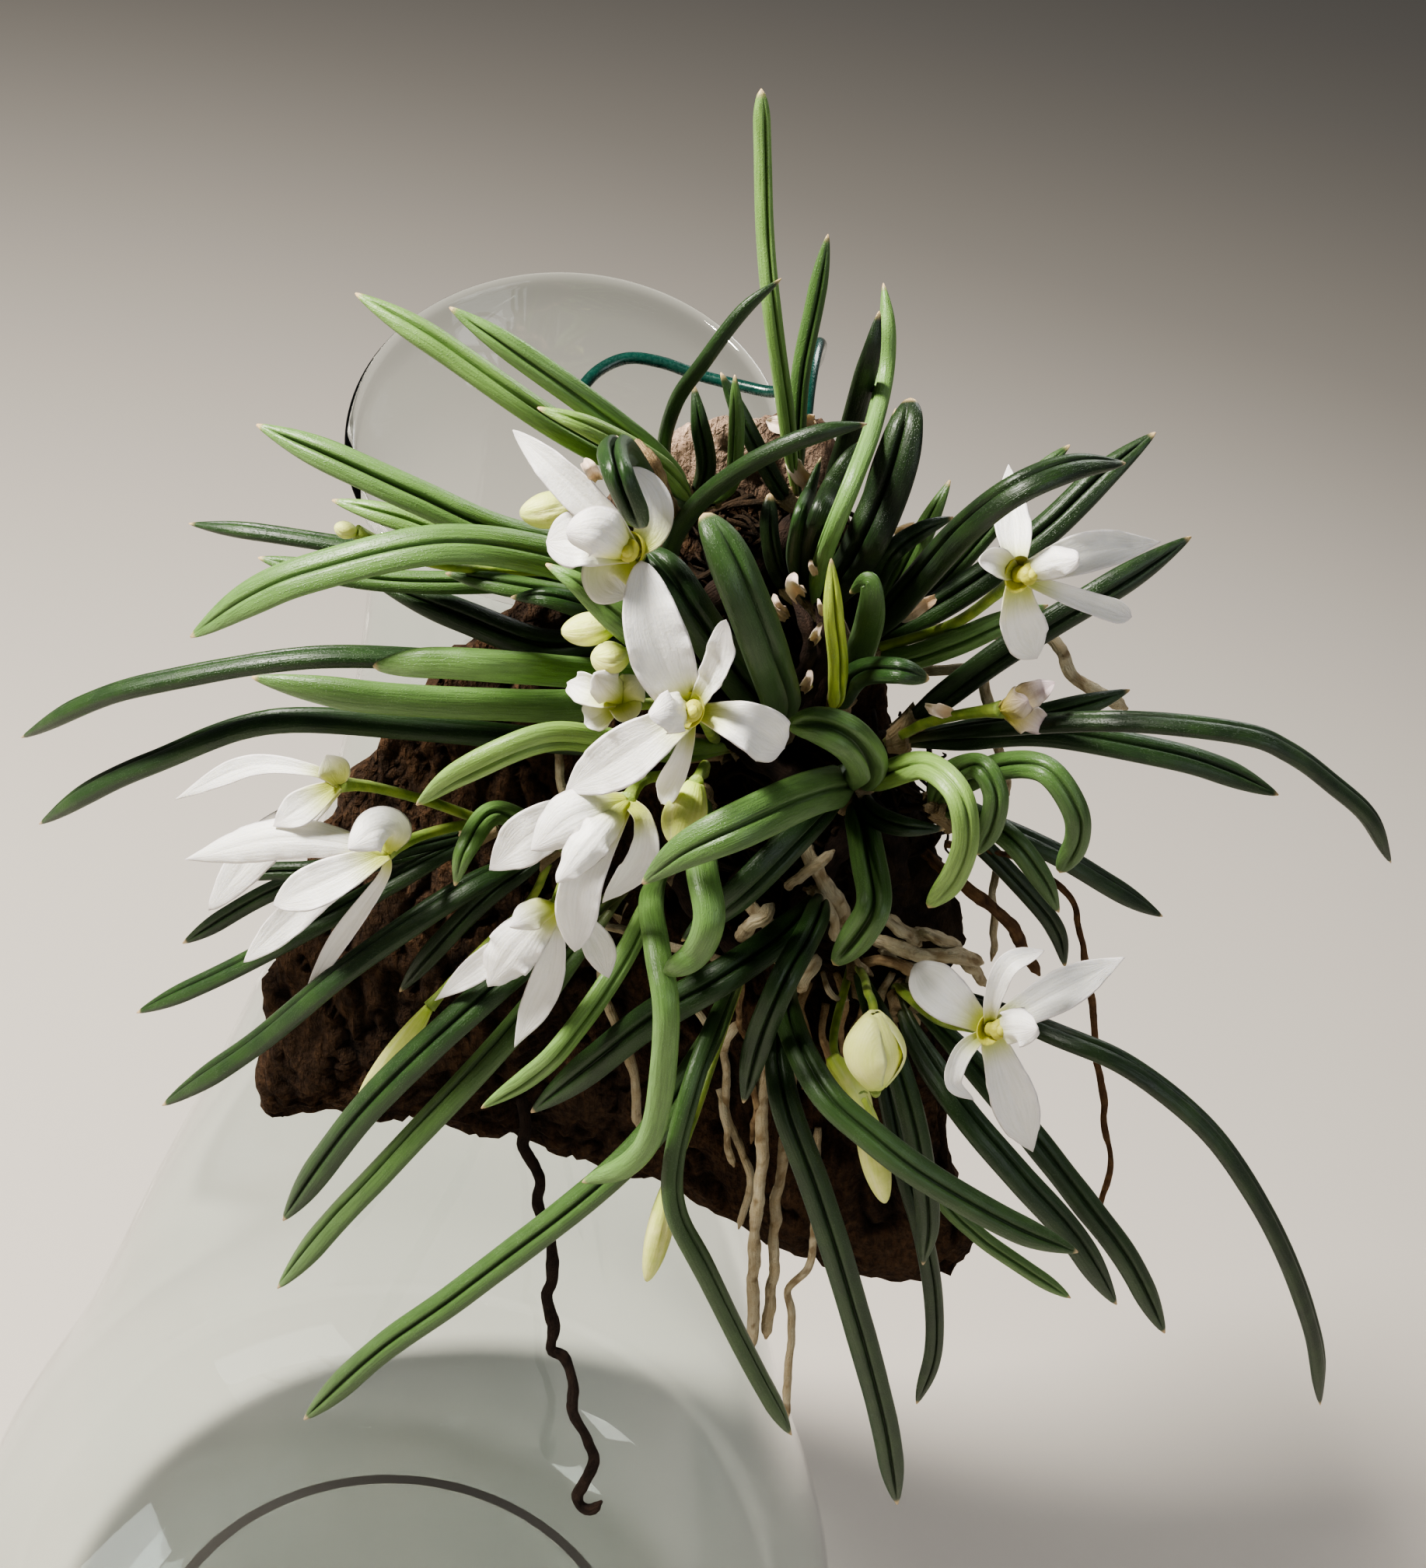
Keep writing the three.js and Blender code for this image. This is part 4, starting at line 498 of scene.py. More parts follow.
WIRE_ROUTE = [
    (738, 512, 452), (768, 478, 456), (806, 461, 458), (850, 466, 459), (897, 482, 459), (948, 495, 458),
    (996, 504, 455), (1028, 492, 449), (1048, 468, 439), (1055, 446, 427), (1052, 444, 415),
    (1046, 465, 407), (1040, 500, 402), (1035, 545, 399), (1030, 585, 398),
]
BARK_OUTLINE = [
    (885, 565), (950, 548), (1030, 540), (1068, 580), (1088, 700), (1122, 850), (1170, 1000), (1200, 1130),
    (1212, 1300), (1208, 1440), (1240, 1570), (1200, 1624), (1100, 1628), (1008, 1593), (930, 1550),
    (846, 1509), (764, 1486), (668, 1457), (582, 1437), (454, 1421), (371, 1430), (343, 1400), (350, 1330),
    (358, 1235), (400, 1120), (462, 1000), (560, 880), (700, 740), (800, 640),
]
MAT_OUTLINE = [
    (1040, 1060), (1110, 1010), (1180, 1030), (1208, 1100), (1240, 1185), (1222, 1250), (1160, 1300),
    (1090, 1290), (1030, 1220), (1015, 1130),
]

print(len(SHOOTS), "shoots,", len(FLOWERS), "flowers,", len(BUDS), "buds,", len(ROOTS), "roots")

# %% [markdown]
# ## Lines, sections and shells
#
# Nearly everything on a plant is a section carried along a line: a grooved leaf, a thin petal, a knobbly
# root. Blender has curves with a bevel for that, but their section is the same all along. Here a
# section is an array with one row for each step of the line, so it can swell, fold and turn.


# %% Smooth lines and carried sections
def smooth_line(points, steps):
    """A line through all the points. Between two of them it is a cubic, and its slope at a point is half
    of the way from the point before to the point after."""
    points = np.asarray(points, float)
    wider = np.vstack([2 * points[0] - points[1], points, 2 * points[-1] - points[-2]])
    slopes = 0.5 * (wider[2:] - wider[:-2])
    way = np.linspace(0, len(points) - 1, steps + 1)
    start = np.minimum(way.astype(int), len(points) - 2)
    w = (way - start)[:, None]
    a, b = points[start], points[start + 1]
    from_a, from_b = slopes[start], slopes[start + 1]
    return (
        (2 * w**3 - 3 * w**2 + 1) * a
        + (w**3 - 2 * w**2 + w) * from_a
        + (3 * w**2 - 2 * w**3) * b
        + (w**3 - w**2) * from_b
    )


def unit(vectors):
    """The same directions with length one."""
    return vectors / np.maximum(np.linalg.norm(vectors, axis=-1, keepdims=True), 1e-9)


def distance_along(line):
    """How far each point of the line is from its start, in mm."""
    steps = np.linalg.norm(np.diff(line, axis=0), axis=1)
    return np.concatenate([[0.0], np.cumsum(steps)])


def at_distances(line, steps):
    """Points of a line at given distances from its start."""
    way = distance_along(line)
    return np.stack([np.interp(steps, way, column) for column in line.T], -1)


def carried(line, x, y, roll=0.0, away=forward):
    """Rings of a section along a line. The section's x lies square to the line and to the direction
    away, its y square to both and towards the eye, and both are then turned about the line by roll."""
    along = unit(np.gradient(line, axis=0))
    across = unit(np.cross(along, away))
    facing = np.cross(along, across)
    turned = np.broadcast_to(np.asarray(roll, float), len(line))[:, None]
    side = np.cos(turned) * across + np.sin(turned) * facing
    front = np.cos(turned) * facing - np.sin(turned) * across
    return line[:, None] + x[..., None] * side[:, None] + y[..., None] * front[:, None]


def stacked(x, y, way, shift=0.0):
    """A section's x and y with the way along the line as a third value. A shift of the way makes the
    patterns of two pieces differ."""
    return np.stack(np.broadcast_arrays(x, y, way[:, None] + shift), -1)


def smooth_step(value, low, high):
    """0 below low, 1 above high, and an S between them."""
    share = np.clip((value - low) / (high - low), 0, 1)
    return share * share * (3 - 2 * share)


# %% [markdown]
# Nature is uneven. A value noise gives that: random numbers on the corners of a grid of cubes, with a
# smooth blend between the eight corners around a point. The random numbers come from whole-number
# arithmetic on the corner's place, so that they are the same each time.


# %% Uneven numbers
CELL_FACTORS = np.array([73856093, 19349663, 83492791], np.int64)
SEED_FACTOR = 2654435761
MIX_FACTORS = (2246822519, 3266489917)
LOW_BITS = 0xFFFFFFFF


def scatter(cells, seed):
    """A number from -1 to 1 for each row of whole numbers, the same for the same row and seed."""
    mixed = (cells.astype(np.int64) @ CELL_FACTORS + SEED_FACTOR * seed) & LOW_BITS
    for factor, shift in zip(MIX_FACTORS, (15, 13)):
        mixed = ((mixed ^ (mixed >> shift)) * factor) & LOW_BITS
    return ((mixed ^ (mixed >> 16)) & 0xFFFF) / 32767.5 - 1


def noise(points, seed=0):
    """Smooth noise from -1 to 1 with bumps about one unit across."""
    points = np.asarray(points, float)
    low = np.floor(points)
    part = points - low
    part = part * part * (3 - 2 * part)
    total = np.zeros(points.shape[:-1])
    for corner in np.ndindex(2, 2, 2):
        weight = np.prod(np.where(corner, part, 1 - part), axis=-1)
        total += weight * scatter(low.astype(np.int64) + np.array(corner), seed)
    return total


def rough_noise(points, octaves=4, seed=0):
    """Noise with finer and weaker noise added to it, each twice as fine as the one before."""
    layers = [noise(np.asarray(points) * 2**k, seed + k) * 0.5**k for k in range(octaves)]
    return sum(layers)


def wander(steps, seed, size=1.0):
    """A row of smooth noise along one line, one value for each step."""
    places = np.stack([steps / size, np.full_like(steps, 0.37), np.full_like(steps, 0.61)], -1)
    return noise(places, seed)


# %% [markdown]
# A shell is one closed skin: rings joined by quads, with a pole at both ends. Each point also keeps its
# place on the same piece laid straight, and four marks. The finishes read both, so their streaks
# follow a bent leaf, a tip can have a colour of its own, and a groove can be painted darker as shade.


# %% Shells and pieces
def shell(rings, straight, marks):
    """Rings of points in order along a line, counter-clockwise as seen from the line's far end.
    straight has three values for each point and marks has four."""
    count, sides = rings.shape[:2]

    def with_poles(values):
        values = np.broadcast_to(values, (count, sides, values.shape[-1]))
        ends = [values[0].mean(0, keepdims=True), values[-1].mean(0, keepdims=True)]
        return np.vstack([values.reshape(count * sides, -1), *ends])

    here = np.arange(sides)
    after = np.roll(here, -1)
    base = np.arange(count - 1)[:, None] * sides
    quads = np.stack([base + here, base + after, base + sides + after, base + sides + here], -1)
    last = (count - 1) * sides
    first_pole = np.full(sides, count * sides)
    caps = np.vstack(
        [
            np.stack([first_pole, after, here], -1),
            np.stack([first_pole + 1, last + here, last + after], -1),
        ]
    )
    return {
        "points": with_poles(rings),
        "straight": with_poles(straight),
        "marks": with_poles(marks),
        "quads": quads.reshape(-1, 4),
        "caps": caps,
    }


def piece(name, shells, finish, stands_for=()):
    """One object made of closed shells, at the origin, with its finish, hung on the root body; the plain
    solids that it stands for are hidden.
    """
    sizes = [len(part["points"]) for part in shells]
    offsets = np.concatenate([[0], np.cumsum(sizes)[:-1]])
    points = np.vstack([part["points"] for part in shells]) * MM
    quads = np.vstack([part["quads"] + start for part, start in zip(shells, offsets)])
    caps = np.vstack([part["caps"] + start for part, start in zip(shells, offsets)])
    mesh = bpy.data.meshes.new(name)
    mesh.from_pydata(points, [], quads.tolist() + caps.tolist())
    mesh.attributes.new("straight", "FLOAT_VECTOR", "POINT").data.foreach_set(
        "vector", np.vstack([part["straight"] for part in shells]).astype(np.float32).ravel()
    )
    mesh.attributes.new("marks", "FLOAT_COLOR", "POINT").data.foreach_set(
        "color", np.vstack([part["marks"] for part in shells]).astype(np.float32).ravel()
    )
    mesh.shade_smooth()
    mesh.materials.append(finish)
    made = bpy.data.objects.new(name, mesh)
    bpy.context.scene.collection.objects.link(made)
    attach(made, "root")
    if stands_for:
        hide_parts(*stands_for)
    return made


def marked(shape, first=0.0, second=0.0, third=0.0, fourth=0.0):
    """Four marks for each point of a grid of rings."""
    return np.stack([np.broadcast_to(v, shape) for v in (first, second, third, fourth)], -1)


def round_angles(sides):
    return np.linspace(0, 2 * np.pi, sides, endpoint=False)


def tube(line, radius, sides=12, tone=0.5, away=forward, lobes=0.0, seed=0):
    """A round section along a line. radius is one number or one for each step; lobes makes it uneven
    with noise on the tube laid straight. Its marks are: unevenness, nearness to the ends, tone, share."""
    way = distance_along(line)
    angle = round_angles(sides)
    share = np.linspace(0, 1, len(line))
    thick = np.broadcast_to(np.asarray(radius, float), len(line))[:, None] * np.ones(sides)
    flat = stacked(thick * np.cos(angle), thick * np.sin(angle), way)
    uneven = noise(flat / 1.7, seed) + 0.5 * noise(flat / 0.7, seed + 1)
    grown = thick * (1 + lobes * uneven)
    rings = carried(line, grown * np.cos(angle), grown * np.sin(angle), 0.0, away)
    ends = np.exp(-np.minimum(way, way[-1] - way) / 2)[:, None]
    return shell(rings, flat, marked(thick.shape, uneven, ends, tone, share[:, None]))


print("noise of one place:", noise(np.array([[0.3, 0.4, 0.5]])).round(3))

# %% [markdown]
# ## Finishes
#
# A finish is a tree of shader nodes that ends in one Principled BSDF. The patterns that several
# finishes share are node groups: streaks that run along a piece, mottling, and small flecks. Image
# textures would be quicker to paint, but node patterns stay sharp at any distance and fit any piece.


# %% Short ways to make nodes
def tint(red, green, blue):
    """A colour given as it looks on a screen, 0 to 255, as the light values that shaders use."""
    shares = np.array([red, green, blue]) / 255
    light = np.where(shares <= 0.04045, shares / 12.92, ((shares + 0.055) / 1.055) ** 2.4)
    return (*light.tolist(), 1.0)


def feed(tree, socket, value):
    """Links an output to the socket, or sets the socket's own value."""
    if isinstance(value, bpy.types.NodeSocket):
        tree.links.new(value, socket)
    else:
        socket.default_value = value


def node(tree, kind, choices=None, **inputs):
    """A new node with its own choices set, and values or links for its inputs by name."""
    made = tree.nodes.new("ShaderNode" + kind)
    for key, value in (choices or {}).items():
        setattr(made, key, value)
    for key, value in inputs.items():
        feed(tree, made.inputs[key.replace("_", " ")], value)
    return made


def calc(tree, operation, first, second=0.0):
    """What a Math node gives for two values."""
    made = node(tree, "Math", {"operation": operation})
    feed(tree, made.inputs[0], first)
    feed(tree, made.inputs[1], second)
    return made.outputs[0]


def times(tree, first, second):
    return calc(tree, "MULTIPLY", first, second)


def mix(tree, share, first, second, how="MIX"):
    """Two colours mixed by a share from 0 to 1."""
    made = node(tree, "Mix", {"data_type": "RGBA", "blend_type": how})
    for place, value in ((0, share), (6, first), (7, second)):
        feed(tree, made.inputs[place], value)
    return made.outputs[2]


def between(tree, value, low, high):
    """0 where the value is under low, 1 where it is over high, and an S between them."""
    look = {"interpolation_type": "SMOOTHSTEP"}
    return node(tree, "MapRange", look, Value=value, From_Min=low, From_Max=high).outputs["Result"]


def stretched(tree, vector, amounts):
    """A place whose three values are each multiplied, which draws a pattern out or shrinks it."""
    made = node(tree, "VectorMath", {"operation": "MULTIPLY"})
    feed(tree, made.inputs[0], vector)
    feed(tree, made.inputs[1], amounts)
    return made.outputs[0]


def pattern_group(name, inputs, outputs):
    """A new node group with named sockets, then what enters it and the sockets where values leave."""
    tree = bpy.data.node_groups.new(name, "ShaderNodeTree")
    for label, kind in inputs:
        tree.interface.new_socket(label, in_out="INPUT", socket_type="NodeSocket" + kind)
    for label, kind in outputs:
        tree.interface.new_socket(label, in_out="OUTPUT", socket_type="NodeSocket" + kind)
    return tree, tree.nodes.new("NodeGroupInput").outputs, tree.nodes.new("NodeGroupOutput").inputs


def use(tree, group, **inputs):
    """What a pattern group gives, with values or links for its inputs by name."""
    made = tree.nodes.new("ShaderNodeGroup")
    made.node_tree = group
    for key, value in inputs.items():
        feed(tree, made.inputs[key.replace("_", " ")], value)
    return made.outputs


def finish(name, **plain):
    """A material with a Principled BSDF whose plain values are set on its own sockets."""
    material = bpy.data.materials.new(name)
    material.use_nodes = True
    shader = material.node_tree.nodes["Principled BSDF"]
    for key, value in plain.items():
        shader.inputs[key.replace("_", " ")].default_value = value
    return material, material.node_tree, shader


def marks_of(tree):
    """The four painted marks of a piece, and its place when laid straight, in mm."""
    painted = node(tree, "Attribute", {"attribute_name": "marks"})
    parts = node(tree, "SeparateColor", Color=painted.outputs["Color"])
    straight = node(tree, "Attribute", {"attribute_name": "straight"}).outputs["Vector"]
    return [*parts.outputs, painted.outputs["Alpha"]], straight


def relief(tree, shader, height, distance, strength=1.0):
    """Small relief: a height in a bump, whose normal goes to the shader. distance is in metres."""
    bump = node(tree, "Bump", Height=height, Distance=distance, Strength=strength)
    feed(tree, shader.inputs["Normal"], bump.outputs["Normal"])


# %% Shared patterns
streaks, enter, leave = pattern_group(
    "streaks", [("Place", "Vector"), ("Fineness", "Float")], [("Lines", "Float")]
)
long_place = stretched(streaks, enter["Place"], (1.0, 1.0, 0.07))
fine_lines = node(streaks, "TexNoise", Vector=long_place, Scale=enter["Fineness"], Detail=3.0)
feed(streaks, leave["Lines"], between(streaks, fine_lines.outputs["Fac"], 0.35, 0.68))

mottle, enter, leave = pattern_group(
    "mottle", [("Place", "Vector"), ("Size", "Float")], [("Patches", "Float"), ("Grain", "Float")]
)
patches = node(mottle, "TexNoise", Vector=enter["Place"], Scale=enter["Size"], Detail=4.0)
grain_scale = times(mottle, enter["Size"], 7.0)
grain = node(mottle, "TexNoise", Vector=enter["Place"], Scale=grain_scale, Detail=5.0)
grain.inputs["Roughness"].default_value = 0.65
feed(mottle, leave["Patches"], between(mottle, patches.outputs["Fac"], 0.36, 0.64))
feed(mottle, leave["Grain"], between(mottle, grain.outputs["Fac"], 0.32, 0.68))

flecks, enter, leave = pattern_group(
    "flecks", [("Place", "Vector"), ("Fineness", "Float")], [("Specks", "Float"), ("Height", "Float")]
)
speck_place = stretched(flecks, enter["Place"], (1.0, 1.0, 0.45))
cells = node(flecks, "TexVoronoi", Vector=speck_place, Scale=enter["Fineness"])
thin = node(flecks, "TexNoise", Vector=enter["Place"], Scale=0.35, Detail=2.0)
near_cell = between(flecks, cells.outputs["Distance"], 0.42, 0.12)
here_and_there = between(flecks, thin.outputs["Fac"], 0.42, 0.62)
feed(flecks, leave["Specks"], times(flecks, near_cell, here_and_there))
feed(flecks, leave["Height"], near_cell)
print("pattern groups:", [group.name for group in bpy.data.node_groups])

# %% [markdown]
# The leaves are thick and waxy. Old ones are dark green, young ones a yellow green, and leaves that lie
# in shade are given a darker tone too, as painted shade. Fine pale flecks in rows carry a painted sheen,
# stronger on the lighter leaves. The groove is painted darker as shade, and each tip dries out.


# %% Leaf skin
def leaf_skin():
    made, tree, shader = finish(
        "leaf_skin", Coat_Weight=0.06, Coat_Roughness=0.4, Sheen_Weight=0.03, Subsurface_Weight=0.06
    )
    shader.inputs["Subsurface Radius"].default_value = (0.3, 0.8, 0.15)
    shader.inputs["Subsurface Scale"].default_value = 0.002
    (groove, tip, tone, base), straight = marks_of(tree)
    lines = use(tree, streaks, Place=straight, Fineness=2.6)
    specks = use(tree, flecks, Place=straight, Fineness=4.5)
    spots = use(tree, mottle, Place=straight, Size=0.16)
    # The darker stops of this ramp stand partly for old leaves and partly for leaves in shade: painted
    # shade.
    green = node(tree, "ValToRGB", Fac=tone)
    stops = green.color_ramp.elements
    stops[0].color = tint(6, 18, 2)
    stops[1].color = tint(184, 200, 78)
    stops.new(0.3).color = tint(30, 56, 20)
    stops.new(0.6).color = tint(114, 150, 82)
    colour = green.outputs["Color"]
    lined = times(tree, lines["Lines"], 0.30)
    colour = mix(tree, lined, colour, tint(26, 54, 14))
    patched = times(tree, spots["Patches"], 0.07)
    colour = mix(tree, patched, colour, tint(92, 134, 54))
    # Pale flecks lighten the colour as a painted sheen, scaled by the tone, so lighter leaves shine more.
    sheen_share_by_tone = times(tree, tone, 0.42)
    flecks_and_sheen = times(tree, specks["Specks"], sheen_share_by_tone)
    colour = mix(tree, flecks_and_sheen, colour, tint(158, 184, 142))
    # Painted shade: the groove is darkened in the colour, as the shade that falls in the crease.
    shade = times(tree, groove, 0.42)
    colour = mix(tree, shade, colour, tint(18, 34, 12))
    colour = mix(tree, base, colour, tint(128, 128, 84))
    dried = between(tree, tip, 0.25, 0.8)
    colour = mix(tree, dried, colour, tint(196, 170, 128))
    feed(tree, shader.inputs["Base Color"], colour)
    rough = calc(tree, "MULTIPLY_ADD", specks["Specks"], 0.12)
    feed(tree, rough.node.inputs[2], 0.44)
    feed(tree, shader.inputs["Roughness"], rough)
    fine = calc(tree, "ADD", lines["Lines"], specks["Height"])
    relief(tree, shader, fine, 0.00006, 0.7)
    return made


leaf_finish = leaf_skin()
print("made", leaf_finish.name)

# %% [markdown]
# Petals are white, a little translucent, and turn yellow-green towards the heart of the flower. Faint
# veins run along them. The same tree makes the buds, the stalks and the withered flower, with other
# colours, so it is one function that takes them.


# %% Petals, buds and stalks
def petal_skin(name, body, veins, heart, edge, see_through=0.25):
    made, tree, shader = finish(
        name, Roughness=0.42, Subsurface_Weight=see_through, Sheen_Weight=0.08, Specular_IOR_Level=0.4
    )
    shader.inputs["Subsurface Radius"].default_value = (1.0, 0.9, 0.6)
    shader.inputs["Subsurface Scale"].default_value = 0.0018
    (near_heart, near_edge, tone, _), straight = marks_of(tree)
    lines = use(tree, streaks, Place=straight, Fineness=1.9)
    spots = use(tree, mottle, Place=straight, Size=0.22)
    veined = times(tree, lines["Lines"], 0.38)
    colour = mix(tree, veined, body, veins)
    toned = times(tree, tone, spots["Patches"])
    colour = mix(tree, toned, colour, heart)
    colour = mix(tree, near_heart, colour, heart)
    rim = times(tree, near_edge, 0.35)
    colour = mix(tree, rim, colour, edge)
    feed(tree, shader.inputs["Base Color"], colour)
    height = calc(tree, "ADD", lines["Lines"], spots["Grain"])
    relief(tree, shader, height, 0.00007, 0.6)
    return made


petal_finish = petal_skin(
    "petal_skin", tint(244, 242, 236), tint(218, 217, 206), tint(178, 188, 58), tint(240, 220, 226)
)
cream_finish = petal_skin(
    "bud_skin", tint(236, 238, 156), tint(216, 224, 110), tint(172, 200, 56), tint(246, 246, 210)
)
stalk_finish = petal_skin(
    "stalk_skin", tint(120, 146, 62), tint(92, 120, 48), tint(168, 184, 84), tint(150, 168, 84), 0.1
)
withered_finish = petal_skin(
    "withered_skin", tint(232, 216, 218), tint(196, 170, 176), tint(206, 190, 80), tint(188, 150, 150), 0.15
)
bract_finish = petal_skin(
    "bract_skin", tint(240, 226, 212), tint(206, 178, 160), tint(198, 168, 132), tint(206, 168, 148), 0.15
)
throat_finish = petal_skin(
    "throat_skin", tint(208, 206, 96), tint(176, 176, 62), tint(160, 156, 40), tint(226, 222, 140), 0.15
)
print("materials so far:", len(bpy.data.materials))

# %% [markdown]
# Roots have a chalky skin with brown scars, and the dead ones are dark; dents in their skin are painted
# darker as shade. Papery sheaths wrap the foot of each leaf. Bark is a stack of cracks, layers and dust
# in several browns, with painted shade in its furrows, and its browns are kept dark as painted shade
# from the leaves above it.


# %% Roots, sheaths and moss
def root_skin(name, skin, scar, deep, scarred):
    made, tree, shader = finish(name, Roughness=0.85, Specular_IOR_Level=0.25)
    (uneven, _, tone, _), straight = marks_of(tree)
    spots = use(tree, mottle, Place=straight, Size=0.35)
    rings = use(tree, streaks, Place=straight, Fineness=3.0)
    colour = mix(tree, times(tree, spots["Patches"], scarred), skin, scar)
    colour = mix(tree, times(tree, rings["Lines"], 0.35), colour, scar)
    # Painted shade: dents in the uneven skin are darkened towards the deep colour, as shade in hollows. The
    # deep colour also serves the real darker tone below.
    dent_shade = between(tree, uneven, 0.1, -0.8)
    colour = mix(tree, times(tree, dent_shade, 0.7), colour, deep)
    colour = mix(tree, times(tree, tone, 0.5), colour, deep)
    feed(tree, shader.inputs["Base Color"], colour)
    height = calc(tree, "ADD", spots["Grain"], rings["Lines"])
    relief(tree, shader, height, 0.00025)
    return made


pale_root_finish = root_skin(
    "pale_root_skin", tint(240, 230, 200), tint(206, 182, 138), tint(140, 112, 76), 0.45
)
tan_root_finish = root_skin("tan_root_skin", tint(206, 180, 140), tint(150, 116, 78), tint(96, 68, 44), 0.5)
dark_root_finish = root_skin("dark_root_skin", tint(72, 54, 44), tint(44, 32, 26), tint(22, 16, 13), 0.7)
brown_root_finish = root_skin(
    "brown_root_skin", tint(150, 114, 78), tint(92, 60, 40), tint(52, 34, 24), 0.6
)
sheath_finish = root_skin("papery_sheath", tint(214, 196, 160), tint(176, 142, 104), tint(120, 90, 62), 0.4)
moss_finish = root_skin("moss_threads", tint(74, 56, 38), tint(44, 33, 22), tint(20, 15, 10), 0.6)


# %% Bark
def bark_skin():
    made, tree, shader = finish("cork_bark", Roughness=0.92, Specular_IOR_Level=0.2)
    (hollow_shade, pale_end, _, _), straight = marks_of(tree)
    place = node(tree, "TexCoord").outputs["Object"]
    spots = use(tree, mottle, Place=place, Size=70.0)
    long_place = stretched(tree, straight, (1.0, 0.14, 1.0))
    fibres = node(tree, "TexNoise", Vector=long_place, Scale=0.9, Detail=8.0)
    ridges = between(tree, fibres.outputs["Fac"], 0.4, 0.62)
    # These browns are partly the cork's own colour and partly painted shade, kept dark for the shade that
    # the leaves cast on the bark.
    colour = mix(tree, spots["Patches"], tint(54, 38, 26), tint(78, 55, 37))
    colour = mix(tree, times(tree, ridges, 0.7), colour, tint(38, 27, 20))
    colour = mix(tree, times(tree, spots["Grain"], 0.3), colour, tint(120, 92, 68))
    # Painted shade: furrows and low plates are darkened as the shade that falls in them.
    colour = mix(tree, hollow_shade, colour, tint(20, 14, 10))
    torn = times(tree, pale_end, 0.85)
    colour = mix(tree, torn, colour, tint(224, 192, 168))
    feed(tree, shader.inputs["Base Color"], colour)
    height = calc(tree, "SUBTRACT", spots["Grain"], ridges)
    relief(tree, shader, height, 0.0008)
    return made


bark_finish = bark_skin()
print("made", bark_finish.name)

# %% [markdown]
# The wire has a smooth plastic coat, and the vase is clear glass with a trace of grey green. Glass keeps
# its plain transmission; only its roughness changes a little, as it does where it was wiped. It bends
# light less than real glass does, so that its rim draws no black line against a plain setting, and a
# coat brings the reflections back.


# %% Wire coat and glass
def wire_coat():
    made, tree, shader = finish("wire_coat", Coat_Weight=0.6, Coat_Roughness=0.08, IOR=1.5)
    place = node(tree, "TexCoord").outputs["Object"]
    spots = use(tree, mottle, Place=place, Size=220.0)
    colour = mix(tree, spots["Patches"], tint(6, 46, 38), tint(9, 58, 48))
    colour = mix(tree, times(tree, spots["Grain"], 0.15), colour, tint(30, 84, 72))
    feed(tree, shader.inputs["Base Color"], colour)
    rough = node(tree, "MapRange", Value=spots["Grain"], To_Min=0.18, To_Max=0.34)
    feed(tree, shader.inputs["Roughness"], rough.outputs["Result"])
    relief(tree, shader, spots["Grain"], 0.00005, 0.5)
    return made


def clear_glass():
    made, tree, shader = finish(
        "clear_glass", Transmission_Weight=1.0, IOR=1.1, Metallic=0.0, Coat_Weight=0.8, Coat_Roughness=0.02
    )
    place = node(tree, "TexCoord").outputs["Object"]
    smears = use(tree, mottle, Place=place, Size=14.0)
    colour = mix(tree, smears["Patches"], tint(245, 249, 247), tint(241, 247, 245))
    feed(tree, shader.inputs["Base Color"], colour)
    wiped = node(tree, "MapRange", Value=smears["Grain"], To_Min=0.0, To_Max=0.035)
    feed(tree, shader.inputs["Roughness"], wiped.outputs["Result"])
    waves = node(tree, "TexNoise", Vector=place, Scale=22.0, Detail=1.0)
    relief(tree, shader, waves.outputs["Fac"], 0.0004, 0.35)
    return made


wire_finish = wire_coat()
glass_finish = clear_glass()
print("materials so far:", len(bpy.data.materials))

# %% [markdown]
# ## The glass vase
#
# A blown vase is a profile turned about its axis, and here its mouth slants towards the front. The
# profile runs from the middle of the foot up the outside, over a round lip and down the inside, so the
# wall is thin real glass with a closed skin. It swells into the lip, as drawn glass does.

# %% The vase
GLASS = 0.9
LIP = 2.2
LIP_REACH = 5.0
INSIDE_FROM = 16.0
FOOT_RADIUS = 72.0
BODY_RADIUS = 119.0
NECK_RADIUS = 37.5
MOUTH_RADIUS = 45.0
MOUTH_SLANT = np.radians(24)
SLANT_FROM = 330.0
VASE_PROFILE = [
    (FOOT_RADIUS, 0), (90, 6), (113, 28), (BODY_RADIUS, 60), (95, 120), (78.7, 170), (61.6, 220),
    (47.5, 270), (39.5, 315), (NECK_RADIUS, 350), (38.8, 372), (MOUTH_RADIUS, VASE_HEIGHT),
]
VASE_SIDES = 128


def slanted(points):
    """Raises the mouth at the back and lowers it in front: a height's share of the slant grows from
    nothing at SLANT_FROM to all of it at the rim."""
    share = smooth_step(points[..., 2], SLANT_FROM, VASE_HEIGHT)
    lifted = points.copy()
    lifted[..., 2] += share * np.tan(MOUTH_SLANT) * points[..., 1]
    return lifted


def turned_about_axis(profile, sides):
    """Rings of (radius, height) rows turned about the upright axis."""
    angle = round_angles(sides)
    radius, height = profile.T
    return stacked(radius[:, None] * np.cos(angle), radius[:, None] * np.sin(angle), height)


